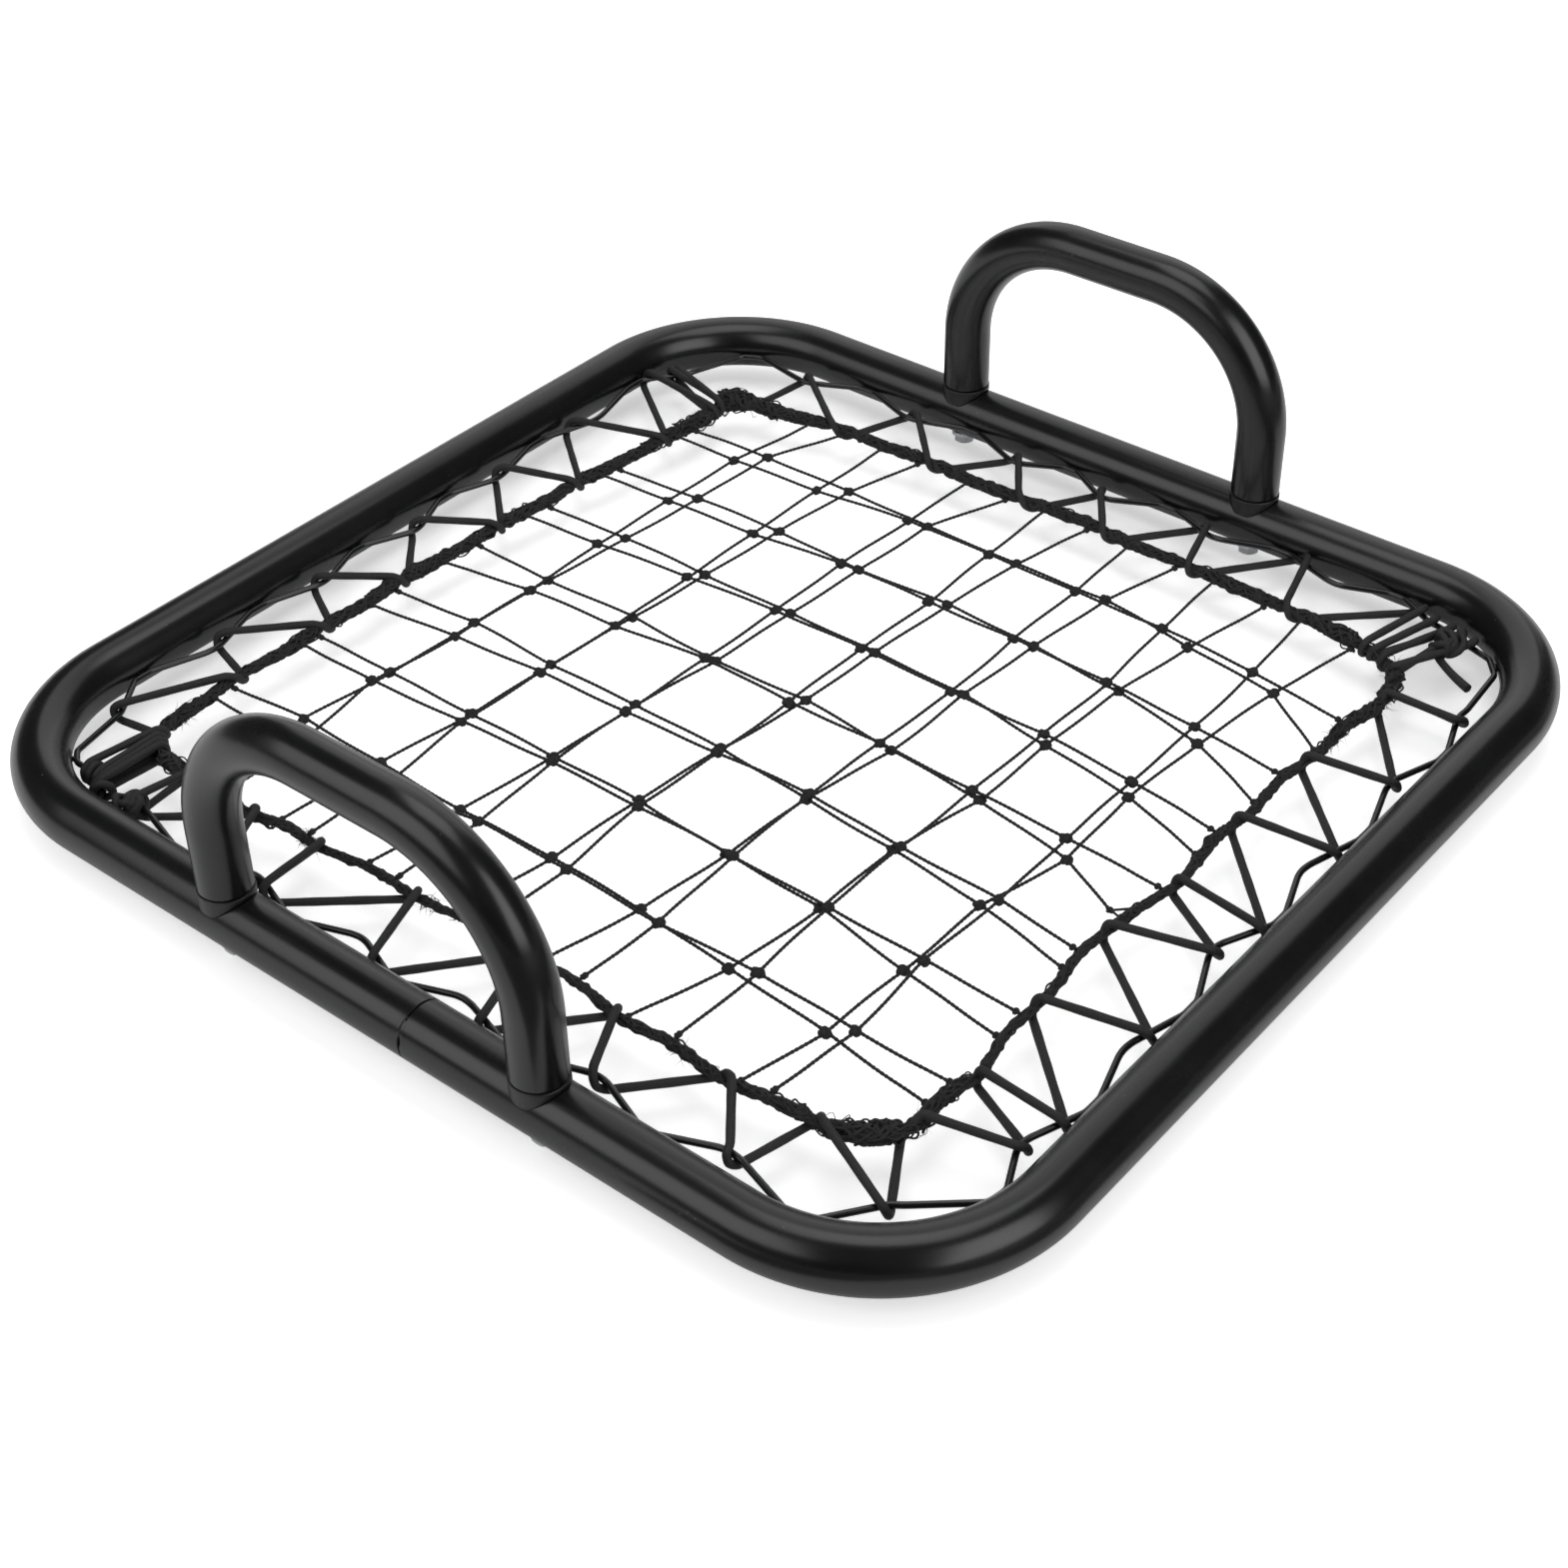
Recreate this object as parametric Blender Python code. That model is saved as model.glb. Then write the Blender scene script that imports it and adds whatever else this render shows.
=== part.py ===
"""Hand-held football rebounder: a bent steel frame with two grip handles and a laced net bed.

The frame lies flat. +X runs along the handle sides, -Y is the front, +Z is up, and z = 0 is the
underside of the four bolt heads that the frame stands on. All sizes are in metres.
"""
import math

import bmesh
import bpy
import numpy as np
from mathutils import Matrix, Vector

# Frame tube, measured to its centre line
FRAME_W = 0.555
FRAME_D = 0.540
CORNER_R = 0.084
TUBE_D = 0.028
TUBE_WALL = 0.0012

# Joint where the two ends of the frame tube meet, on the front side
SEAM_X = 0.024
SEAM_WIDTH = 0.0008
SEAM_WELD_FROM = 22.0
SEAM_WELD_TO = 62.0
SLEEVE_LENGTH = 0.060

# Grip handles
HANDLE_TUBE_D = 0.025
HANDLE_HEIGHT = 0.1165
LEG_SPACING = 0.184
HANDLE_BEND_R = 0.067
HANDLE_FRONT_X = -0.001
HANDLE_BACK_X = -0.0045

# What carries a handle leg on the frame
COLLAR_RIM = 0.0003
COLLAR_TOP = 0.0025
COLLAR_SKIRT = 0.0090
LEG_GROOVE = 0.0006
PLUG_LENGTH = 0.024
BOLT_D = 0.006
BOLT_HEAD_AF = 0.010
BOLT_HEAD_H = 0.004
BOLT_LENGTH = 0.048
WASHER_D = 0.014
WASHER_T = 0.0010
WASHER_LIP = 0.0014

# Clearance between pieces that touch
FIT_GAP = 0.0003

# Net bed
BED_DROP = 0.0015
WIRE_D = 0.0027
ROPE_D = 0.008
LACE_D = 0.004
NET_CORD = 0.0013
KNOT_WIDTH = 0.0034
KNOT_HEIGHT = 0.0022
NET_GAP = 0.0013
NET_KNOTS = 7
NET_END_GAP = 0.0006

# Fineness of the round shapes
TUBE_SIDES = 16
BORE_SIDES = 8
CORNER_STEPS = 9
HANDLE_STEPS = 8
CORD_STEPS = 3

# Values worked out from the sizes above
TUBE_R = TUBE_D / 2
TUBE_Z = BOLT_HEAD_H + WASHER_T + 2 * FIT_GAP + TUBE_R
BED_Z = TUBE_Z - BED_DROP
COLLAR_TOP_Z = TUBE_Z + TUBE_R + COLLAR_TOP
LEG_FOOT_Z = COLLAR_TOP_Z + LEG_GROOVE
BOLT_HOLE_R = BOLT_D / 2 + FIT_GAP
ROPE_R = ROPE_D / 2
LACE_R = LACE_D / 2
LEGS = [
    (HANDLE_FRONT_X + side * LEG_SPACING / 2, -FRAME_D / 2) for side in (-1, 1)
] + [
    (HANDLE_BACK_X + side * LEG_SPACING / 2, FRAME_D / 2) for side in (-1, 1)
]
LEG_NAMES = ("front_left", "front_right", "back_left", "back_right")

# Teeth of the lacing wire: share of the way round the frame, from the middle of the front side and
# anticlockwise, and how far the tooth stands in from the tube's centre line
WIRE_TEETH = (
    (0.011, 0.025), (0.048, 0.026), (0.081, 0.027), (0.125, 0.029),
    (0.167, 0.026), (0.201, 0.024), (0.237, 0.028), (0.270, 0.025), (0.308, 0.025), (0.340, 0.027),
    (0.397, 0.025), (0.426, 0.025), (0.461, 0.026), (0.493, 0.029), (0.521, 0.028), (0.557, 0.026),
    (0.592, 0.030), (0.642, 0.028), (0.683, 0.025), (0.721, 0.025), (0.752, 0.027), (0.783, 0.025),
    (0.819, 0.026), (0.855, 0.028), (0.893, 0.025), (0.917, 0.026), (0.949, 0.025), (0.981, 0.025),
)
# How a tooth rounds off: share of the way from its tip to its foot, and share of its height there
TOOTH_SHAPE = ((-0.86, 0.03), (-0.14, 0.93), (0.0, 1.0), (0.14, 0.93), (0.86, 0.03))

# Border rope of the net: share of the way round and distance in from the tube's centre line
ROPE_ROUTE = (
    (0.006, 0.060), (0.025, 0.062), (0.040, 0.056), (0.052, 0.059), (0.067, 0.055), (0.081, 0.060),
    (0.092, 0.060), (0.103, 0.065), (0.114, 0.066), (0.124, 0.067), (0.135, 0.066), (0.146, 0.065),
    (0.158, 0.063), (0.167, 0.066), (0.177, 0.060), (0.190, 0.067), (0.205, 0.066), (0.220, 0.071),
    (0.235, 0.068), (0.251, 0.062), (0.269, 0.067), (0.280, 0.063), (0.295, 0.066), (0.307, 0.062),
    (0.320, 0.063), (0.333, 0.058), (0.345, 0.061), (0.355, 0.062), (0.365, 0.063), (0.375, 0.065),
    (0.386, 0.066), (0.398, 0.065), (0.410, 0.063), (0.425, 0.059), (0.441, 0.058), (0.460, 0.056),
    (0.475, 0.057), (0.487, 0.054), (0.504, 0.055), (0.524, 0.058), (0.538, 0.055), (0.554, 0.058),
    (0.570, 0.057), (0.583, 0.064), (0.596, 0.067), (0.608, 0.065), (0.619, 0.063), (0.630, 0.064),
    (0.641, 0.066), (0.652, 0.069), (0.664, 0.070), (0.680, 0.068), (0.696, 0.065), (0.712, 0.060),
    (0.721, 0.061), (0.735, 0.057), (0.752, 0.057), (0.771, 0.053), (0.785, 0.055), (0.797, 0.052),
    (0.808, 0.055), (0.823, 0.052), (0.836, 0.055), (0.849, 0.055), (0.860, 0.053), (0.870, 0.053),
    (0.881, 0.054), (0.892, 0.054), (0.907, 0.054), (0.919, 0.056), (0.930, 0.052), (0.941, 0.057),
    (0.952, 0.055), (0.966, 0.060), (0.981, 0.058), (0.993, 0.061),
)

# Lacing cords. A cord goes over and under the wire and the rope in turn. Each stop is the piece
# that it goes round, the shares of the way round where it comes and leaves, and its half turns.
REAR_LACING = (
    ("rope", 0.3675, 0.3675, 1), ("wire", 0.3880, 0.3880, 1), ("rope", 0.3810, 0.3810, 1),
    ("wire", 0.3920, 0.3920, 1), ("rope", 0.3945, 0.3945, 1), ("wire", 0.3960, 0.3960, 1),
    ("rope", 0.4080, 0.4080, 1), ("wire", 0.4000, 0.4000, 1), ("rope", 0.4294, 0.4304, 1),
    ("wire", 0.4315, 0.4315, 1), ("rope", 0.4583, 0.4593, 1), ("wire", 0.4630, 0.4680, 1),
    ("rope", 0.4841, 0.4854, 1), ("wire", 0.4935, 0.4975, 1), ("rope", 0.5070, 0.5103, 1),
    ("wire", 0.5201, 0.5256, 1), ("rope", 0.5383, 0.5406, 1), ("wire", 0.5543, 0.5603, 1),
    ("rope", 0.5681, 0.5724, 1), ("wire", 0.5900, 0.5955, 1), ("rope", 0.5890, 0.6400, 3),
    ("wire", 0.6430, 0.6430, 1), ("rope", 0.6530, 0.6530, 1), ("wire", 0.6485, 0.6485, 1),
    ("rope", 0.6610, 0.6640, 1), ("wire", 0.6535, 0.6535, 1), ("rope", 0.6774, 0.6843, 1),
    ("wire", 0.6890, 0.6925, 1), ("rope", 0.7087, 0.7146, 1), ("wire", 0.7189, 0.7219, 1),
    ("rope", 0.7366, 0.7425, 1), ("wire", 0.7500, 0.7535, 1), ("rope", 0.7693, 0.7752, 1),
    ("wire", 0.7834, 0.7859, 1), ("rope", 0.7937, 0.8021, 1), ("wire", 0.8145, 0.8170, 1),
    ("rope", 0.8205, 0.8300, 1), ("wire", 0.8533, 0.8543, 1), ("rope", 0.8640, 0.8640, 1),
    ("wire", 0.8840, 0.8840, 1), ("rope", 0.8740, 0.8740, 1), ("wire", 0.8882, 0.8882, 1),
    ("rope", 0.8840, 0.8840, 1), ("wire", 0.8924, 0.8924, 1), ("rope", 0.8940, 0.8940, 1),
    ("wire", 0.8966, 0.8966, 1),
)
FRONT_LACING = (
    ("rope", 0.3450, 0.3385, 1), ("wire", 0.3385, 0.3385, 1), ("rope", 0.3335, 0.3325, 1),
    ("wire", 0.3100, 0.3060, 1), ("rope", 0.3029, 0.3019, 1), ("wire", 0.2810, 0.2775, 1),
    ("rope", 0.2745, 0.2735, 1), ("wire", 0.2440, 0.2440, 1), ("rope", 0.2494, 0.2484, 1),
    ("wire", 0.2376, 0.2341, 1), ("rope", 0.2273, 0.2263, 1), ("wire", 0.2085, 0.2055, 1),
    ("rope", 0.2000, 0.1990, 1), ("wire", 0.1775, 0.1755, 1), ("rope", 0.1770, 0.1760, 1),
    ("wire", 0.1685, 0.1645, 1), ("rope", 0.1575, 0.1420, 1), ("wire", 0.1253, 0.1218, 1),
    ("rope", 0.0888, 0.0860, 1), ("wire", 0.0830, 0.0810, 1), ("rope", 0.0695, 0.0620, 1),
    ("wire", 0.0500, 0.0465, 1), ("rope", 0.0395, 0.0340, 1), ("wire", 0.0205, 0.0190, 1),
    ("rope", 0.0132, 0.0062, 1), ("wire", -0.0130, -0.0130, 1), ("rope", -0.0175, -0.0245, 1),
    ("wire", -0.0435, -0.0460, 1), ("rope", -0.0452, -0.0520, 1), ("wire", -0.0500, -0.0585, 1),
    ("rope", -0.0660, -0.0705, 1), ("wire", -0.0800, -0.0800, 1), ("rope", -0.0885, -0.0905, 1),
    ("wire", -0.0850, -0.0897, 3),
)
# Stopper knot and cut tail at the start of the rear cord: share of the way round and inset
STOPPER_AT = (0.3752, 0.0335)
STOPPER_TURNS = 2.5
TAIL_END_AT = (0.3545, 0.0320)
# Where the front cord ends, tucked under the lashing, and its depth below the bed
TUCK_AT = (0.8990, 0.0340)
TUCK_DEPTH = 0.0105

# The two net layers: pitch, place of the middle knot, lean of the columns, fall and bow of the rows
# (all over the half width), height over the bed, and how far each side's cord ends drift: in the
# middle of the side, and what is added to that over the half width
NET_LAYERS = {
    "net_layer_upper": dict(
        pitch=(0.0540, 0.0527), middle=(-0.0022, 0.0015), lean=0.0, fall=0.0, bow=0.006, level=1,
        drift=dict(
            back=(0.0005, -0.005), right=(-0.0035, -0.005), front=(0.001, -0.003), left=(-0.007, 0.0))),
    "net_layer_lower": dict(
        pitch=(0.0546, 0.0532), middle=(0.0013, 0.0045), lean=0.0041, fall=0.009, bow=0.008, level=-1,
        drift=dict(
            back=(0.011, -0.001), right=(-0.015, -0.0125), front=(-0.0095, -0.004), left=(-0.002, -0.003))),
}

BLACK_COAT = ("black_powder_coat", (0.020, 0.021, 0.024), 0.34, 0.0)
BLACK_WIRE = ("black_coated_wire", (0.022, 0.023, 0.026), 0.30, 0.0)
BARE_STEEL = ("bare_steel", (0.46, 0.46, 0.47), 0.42, 1.0)
ZINC_STEEL = ("zinc_plated_steel", (0.62, 0.62, 0.64), 0.30, 1.0)
BLACK_PLASTIC = ("black_plastic", (0.018, 0.018, 0.020), 0.42, 0.0)
BLACK_ROPE = ("black_rope_fibre", (0.014, 0.014, 0.015), 0.92, 0.0)
BLACK_NET = ("black_net_twine", (0.016, 0.016, 0.017), 0.85, 0.0)
BLACK_ELASTIC = ("black_elastic_sheath", (0.018, 0.018, 0.019), 0.75, 0.0)


# Small helpers

def clear_scene():
    """Remove whatever the opened file holds."""
    for item in list(bpy.data.objects):
        bpy.data.objects.remove(item, do_unlink=True)


def finish(spec):
    """Return the Principled material of a finish, made once."""
    name, colour, roughness, metallic = spec
    material = bpy.data.materials.get(name)
    if material is None:
        material = bpy.data.materials.new(name)
        material.use_nodes = True
        shader = material.node_tree.nodes["Principled BSDF"]
        shader.inputs["Base Color"].default_value = (*colour, 1.0)
        shader.inputs["Roughness"].default_value = roughness
        shader.inputs["Metallic"].default_value = metallic
    return material


def add_piece(name, bm, spec, smooth_angle=40.0):
    """Turn a bmesh into a named object with its finish and smooth round faces."""
    mesh = bpy.data.meshes.new(name)
    bm.to_mesh(mesh)
    bm.free()
    mesh.shade_smooth()
    mesh.set_sharp_from_angle(angle=math.radians(smooth_angle))
    piece = bpy.data.objects.new(name, mesh)
    bpy.context.scene.collection.objects.link(piece)
    if spec:
        mesh.materials.append(finish(spec))
    return piece


def add_cutter(name, bm):
    """Make an object that only cuts others."""
    cutter = add_piece(name, bm, None)
    cutter.hide_render = True
    cutter.display_type = "WIRE"
    return cutter


def cut(piece, *cutters):
    """Cut holes or seats into a piece."""
    for cutter in cutters:
        step = piece.modifiers.new("cut_" + cutter.name, "BOOLEAN")
        step.operation = "DIFFERENCE"
        step.solver = "EXACT"
        step.object = cutter


def add_rod(bm, radius, low, high, place=(0.0, 0.0), sides=TUBE_SIDES):
    """Add an upright round bar between two heights."""
    matrix = Matrix.Translation((*place, (low + high) / 2))
    bmesh.ops.create_cone(
        bm, cap_ends=True, segments=sides, radius1=radius, radius2=radius,
        depth=high - low, matrix=matrix)


def add_tube_section(bm, centre, across, up, radius, wall):
    """Add the ring-shaped end face of a tube; the coarse bore keeps the wall's true area."""
    bore = (radius - wall) * math.sqrt(2 * math.pi / (BORE_SIDES * math.sin(2 * math.pi / BORE_SIDES)))
    per_side = TUBE_SIDES // BORE_SIDES

    def ring(size, sides):
        angles = [2 * math.pi * k / sides for k in range(sides)]
        return [bm.verts.new(centre + size * (math.cos(a) * across + math.sin(a) * up)) for a in angles]

    outer = ring(radius, TUBE_SIDES)
    inner = ring(bore, BORE_SIDES)
    faces = []
    for k in range(BORE_SIDES):
        rim = [outer[(per_side * k + i) % TUBE_SIDES] for i in range(per_side + 1)]
        faces.append(bm.faces.new(rim + [inner[(k + 1) % BORE_SIDES], inner[k]]))
    return faces


def bore_clear_radius(radius, wall):
    """Radius of the largest round bar that slips into a tube's bore."""
    full = (radius - wall) * math.sqrt(2 * math.pi / (BORE_SIDES * math.sin(2 * math.pi / BORE_SIDES)))
    return full * math.cos(math.pi / BORE_SIDES) - FIT_GAP


def extrude(bm, faces):
    """Extrude the tube's end faces in place; only the very first ones stay, as the tube's other end."""
    first = len(bm.faces) == len(faces)
    made = bmesh.ops.extrude_face_region(bm, geom=faces, use_keep_orig=True)["geom"]
    if not first:
        bmesh.ops.delete(bm, geom=faces, context="FACES")
    verts = [v for v in made if isinstance(v, bmesh.types.BMVert)]
    return verts, [f for f in made if isinstance(f, bmesh.types.BMFace)]


def push(bm, faces, move):
    """Extrude the tube's end faces along a straight run."""
    verts, faces = extrude(bm, faces)
    bmesh.ops.translate(bm, vec=move, verts=verts)
    return faces


def bend(bm, faces, centre, axis, angle, steps):
    """Extrude the tube's end faces round a bend, a step at a time."""
    turn = Matrix.Rotation(angle / steps, 3, axis)
    for _ in range(steps):
        verts, faces = extrude(bm, faces)
        bmesh.ops.rotate(bm, cent=centre, matrix=turn, verts=verts)
    return faces


def add_cord(name, points, diameter, spec, closed=False, fineness=1):
    """Make a round cord or wire along a list of points."""
    curve = bpy.data.curves.new(name, "CURVE")
    curve.dimensions = "3D"
    curve.twist_mode = "MINIMUM"
    curve.bevel_depth = diameter / 2
    curve.bevel_resolution = fineness
    curve.use_fill_caps = not closed
    spline = curve.splines.new("POLY")
    spline.points.add(len(points) - 1)
    spline.points.foreach_set("co", [c for p in points for c in (*p, 1.0)])
    spline.use_cyclic_u = closed
    spline.use_smooth = True
    curve.materials.append(finish(spec))
    cord = bpy.data.objects.new(name, curve)
    bpy.context.scene.collection.objects.link(cord)
    return cord


# Ways round the frame

def ring_spot(share):
    """Return the plan point on the frame's centre line at a share of its loop, and the way in."""
    half_w = FRAME_W / 2 - CORNER_R
    half_d = FRAME_D / 2 - CORNER_R
    arc = CORNER_R * math.pi / 2
    straights = (half_w, 2 * half_d, 2 * half_w, 2 * half_d, half_w)
    run = (share % 1.0) * ring_length()
    point = Vector((0.0, -FRAME_D / 2))
    for k, straight in enumerate(straights):
        heading = Vector((math.cos(k * math.pi / 2), math.sin(k * math.pi / 2)))
        inward = Vector((-heading.y, heading.x))
        if run <= straight or k == 4:
            return point + heading * run, inward
        point = point + heading * straight
        run -= straight
        if run < arc:
            centre = point + inward * CORNER_R
            turn = Matrix.Rotation(run / CORNER_R, 2)
            return centre - turn @ inward * CORNER_R, turn @ inward
        point = point + (heading + inward) * CORNER_R
        run -= arc


def ring_length():
    """Length of the frame tube's centre line."""
    return 2 * (FRAME_W + FRAME_D) - (8 - 2 * math.pi) * CORNER_R


def ring_point(share, inset):
    """Plan point at a share of the loop, some way in from the tube's centre line."""
    point, inward = ring_spot(share)
    return np.array(point + inward * inset)


class Way:
    """A closed line in plan, followed by its share of the way round."""

    def __init__(self, shares, insets):
        order = np.argsort(np.asarray(shares) % 1.0)
        self.shares = (np.asarray(shares) % 1.0)[order]
        spots = zip(self.shares, np.asarray(insets)[order])
        self.points = np.array([ring_point(share, inset) for share, inset in spots])

    def at(self, share):
        """Point on the line."""
        return np.array([np.interp(share, self.shares, self.points[:, k], period=1.0) for k in (0, 1)])

    def inward(self, share, reach=0.0006):
        """Direction square to the line, into the bed."""
        ahead = self.at(share + reach) - self.at(share - reach)
        return np.array((-ahead[1], ahead[0])) / np.linalg.norm(ahead)

    def points_3d(self, z):
        """The line's corner points at one height."""
        return [(x, y, z) for x, y in self.points]


def wire_way():
    """Line of the lacing wire: rounded teeth whose feet touch the tube."""
    reach = TUBE_R + WIRE_D / 2 + FIT_GAP
    foot = math.sqrt(reach ** 2 - BED_DROP ** 2)
    shares = []
    insets = []
    count = len(WIRE_TEETH)
    for k, (tip, inset) in enumerate(WIRE_TEETH):
        before = WIRE_TEETH[k - 1][0] - (1.0 if k == 0 else 0.0)
        after = WIRE_TEETH[(k + 1) % count][0] + (1.0 if k == count - 1 else 0.0)
        for along, rise in TOOTH_SHAPE:
            half = (after - tip) / 2 if along > 0 else (tip - before) / 2
            shares.append(tip + along * half)
            insets.append(foot + rise * (inset - foot))
    return Way(shares, insets)


# Frame

def frame_tube():
    """One length of tube bent to a rounded square, with its joint and the bolt holes."""
    bm = bmesh.new()
    straight_w = FRAME_W - 2 * CORNER_R
    straight_d = FRAME_D - 2 * CORNER_R
    runs = (straight_w / 2 - SEAM_X, straight_d, straight_w, straight_d, straight_w / 2 + SEAM_X)
    place = Vector((SEAM_X, -FRAME_D / 2, TUBE_Z))
    start = add_tube_section(bm, place, Vector((0, 1, 0)), Vector((0, 0, 1)), TUBE_R, TUBE_WALL)
    end = start
    for k, run in enumerate(runs):
        heading = Matrix.Rotation(k * math.pi / 2, 3, "Z") @ Vector((1, 0, 0))
        inward = Matrix.Rotation(math.pi / 2, 3, "Z") @ heading
        end = push(bm, end, heading * run)
        place = place + heading * run
        if k < len(runs) - 1:
            end = bend(bm, end, place + inward * CORNER_R, "Z", math.pi / 2, CORNER_STEPS)
            place = place + (heading + inward) * CORNER_R
    bmesh.ops.recalc_face_normals(bm, faces=bm.faces[:])
    bmesh.ops.delete(bm, geom=[f for f in (*start, *end) if f.is_valid], context="FACES")
    bmesh.ops.remove_doubles(bm, verts=bm.verts[:], dist=0.00001)
    tube = add_piece("frame_tube", bm, BLACK_COAT)
    cut(tube, seam_cutter(), bolt_hole_cutter())
    return tube


def seam_cutter():
    """Slit between the tube's ends, left out where the weld bridges it."""
    bm = bmesh.new()
    reach = 1.4 * TUBE_R
    spots = [(0.0, 0.0)]
    steps = 20
    for k in range(steps + 1):
        angle = math.radians(SEAM_WELD_TO + (360 - SEAM_WELD_TO + SEAM_WELD_FROM) * k / steps)
        spots.append((-reach * math.cos(angle), reach * math.sin(angle)))
    rim = [bm.verts.new((SEAM_X - SEAM_WIDTH / 2, -FRAME_D / 2 + y, TUBE_Z + z)) for y, z in spots]
    push(bm, [bm.faces.new(rim)], Vector((SEAM_WIDTH, 0, 0)))
    bmesh.ops.recalc_face_normals(bm, faces=bm.faces[:])
    return add_cutter("seam_cutter", bm)


def bolt_hole_cutter():
    """The four bolt holes, straight through tube, collar and plug."""
    bm = bmesh.new()
    for place in LEGS:
        add_rod(bm, BOLT_HOLE_R, BOLT_HEAD_H / 2, LEG_FOOT_Z + PLUG_LENGTH * 0.75, place, sides=12)
    return add_cutter("bolt_hole_cutter", bm)


def seat_cutter():
    """Round seats that the frame tube takes in the collars and the washers."""
    bm = bmesh.new()
    for y in (-FRAME_D / 2, FRAME_D / 2):
        turn = Matrix.Translation((0, y, TUBE_Z)) @ Matrix.Rotation(math.pi / 2, 4, "Y")
        bmesh.ops.create_cone(
            bm, cap_ends=True, segments=2 * TUBE_SIDES, radius1=TUBE_R + FIT_GAP,
            radius2=TUBE_R + FIT_GAP, depth=FRAME_W - 2 * CORNER_R, matrix=turn)
    return add_cutter("seat_cutter", bm)


def joint_sleeve():
    """Inner sleeve that lines up the two ends of the frame tube."""
    bm = bmesh.new()
    radius = bore_clear_radius(TUBE_R, TUBE_WALL)
    place = Vector((SEAM_X - SLEEVE_LENGTH / 2, -FRAME_D / 2, TUBE_Z))
    section = add_tube_section(bm, place, Vector((0, 1, 0)), Vector((0, 0, 1)), radius, TUBE_WALL)
    push(bm, section, Vector((SLEEVE_LENGTH, 0, 0)))
    bmesh.ops.recalc_face_normals(bm, faces=bm.faces[:])
    return add_piece("joint_sleeve", bm, BARE_STEEL)


def grip_handle(name, centre_x, y):
    """Bent grip: two upright legs joined over the top."""
    bm = bmesh.new()
    foot = Vector((centre_x - LEG_SPACING / 2, y, LEG_FOOT_Z))
    rise = TUBE_Z + HANDLE_HEIGHT - HANDLE_BEND_R - LEG_FOOT_Z
    across = LEG_SPACING - 2 * HANDLE_BEND_R
    radius = HANDLE_TUBE_D / 2
    end = add_tube_section(bm, foot, Vector((1, 0, 0)), Vector((0, 1, 0)), radius, TUBE_WALL)
    end = push(bm, end, Vector((0, 0, rise)))
    pivot = foot + Vector((HANDLE_BEND_R, 0, rise))
    end = bend(bm, end, pivot, "Y", math.pi / 2, HANDLE_STEPS)
    end = push(bm, end, Vector((across, 0, 0)))
    pivot = pivot + Vector((across, 0, 0))
    end = bend(bm, end, pivot, "Y", math.pi / 2, HANDLE_STEPS)
    push(bm, end, Vector((0, 0, -rise)))
    bmesh.ops.recalc_face_normals(bm, faces=bm.faces[:])
    return add_piece(name, bm, BLACK_COAT)


def saddle_collar(name, place, seats, holes):
    """Moulded collar between a leg and the frame tube, hollowed to sit on the tube."""
    bm = bmesh.new()
    add_rod(bm, HANDLE_TUBE_D / 2 + COLLAR_RIM, COLLAR_TOP_Z - COLLAR_SKIRT, COLLAR_TOP_Z, place)
    collar = add_piece(name, bm, BLACK_PLASTIC)
    cut(collar, seats, holes)
    return collar


def leg_plug(name, place, holes):
    """Threaded plug pressed into the end of a leg."""
    bm = bmesh.new()
    radius = bore_clear_radius(HANDLE_TUBE_D / 2, TUBE_WALL)
    add_rod(bm, radius, LEG_FOOT_Z, LEG_FOOT_Z + PLUG_LENGTH, place)
    plug = add_piece(name, bm, BARE_STEEL)
    cut(plug, holes)
    return plug


def leg_bolt(name, place):
    """Hexagon bolt, driven up through the tube and the collar into the plug."""
    bm = bmesh.new()
    sides = 12
    corner_r = BOLT_HEAD_AF / 2 / math.cos(math.pi / 6)
    hexagon = [corner_r * (1.0 if k % 2 == 0 else math.cos(math.pi / 6)) for k in range(sides)]
    shank = [BOLT_D / 2] * sides
    top = BOLT_HEAD_H + BOLT_LENGTH
    rings = []
    for z, radii in ((0.0, hexagon), (BOLT_HEAD_H, hexagon), (BOLT_HEAD_H, shank), (top, shank)):
        angles = [2 * math.pi * k / sides for k in range(sides)]
        spots = [(place[0] + r * math.cos(a), place[1] + r * math.sin(a), z) for r, a in zip(radii, angles)]
        rings.append([bm.verts.new(spot) for spot in spots])
    for low, high in zip(rings, rings[1:]):
        for k in range(sides):
            bm.faces.new((low[k], low[(k + 1) % sides], high[(k + 1) % sides], high[k]))
    bm.faces.new(rings[0][::-1])
    bm.faces.new(rings[-1])
    return add_piece(name, bm, ZINC_STEEL, smooth_angle=35.0)


def saddle_washer(name, place, seats, holes):
    """Washer hollowed on top, between a bolt head and the round tube."""
    bm = bmesh.new()
    low = BOLT_HEAD_H + FIT_GAP
    add_rod(bm, WASHER_D / 2, low, low + WASHER_T + WASHER_LIP, place, sides=12)
    washer = add_piece(name, bm, ZINC_STEEL)
    cut(washer, seats, holes)
    return washer


# Net bed

def half_turns(way, stop, level, wrapped_r, bulge):
    """Points of a cord that goes round the wire or the rope, starting above or below it."""
    _, come, leave, halves = stop
    radius = (wrapped_r + halves * FIT_GAP + LACE_R) / math.cos(math.pi / 2 / CORD_STEPS)
    points = []
    steps = CORD_STEPS * halves
    for k in range(steps + 1):
        share = come + (leave - come) * k / steps
        angle = level * (math.pi / 2 - math.pi * k / CORD_STEPS)
        plan = way.at(share) + bulge * way.inward(share) * radius * math.cos(angle)
        points.append((plan[0], plan[1], BED_Z + radius * math.sin(angle)))
    return points


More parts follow.
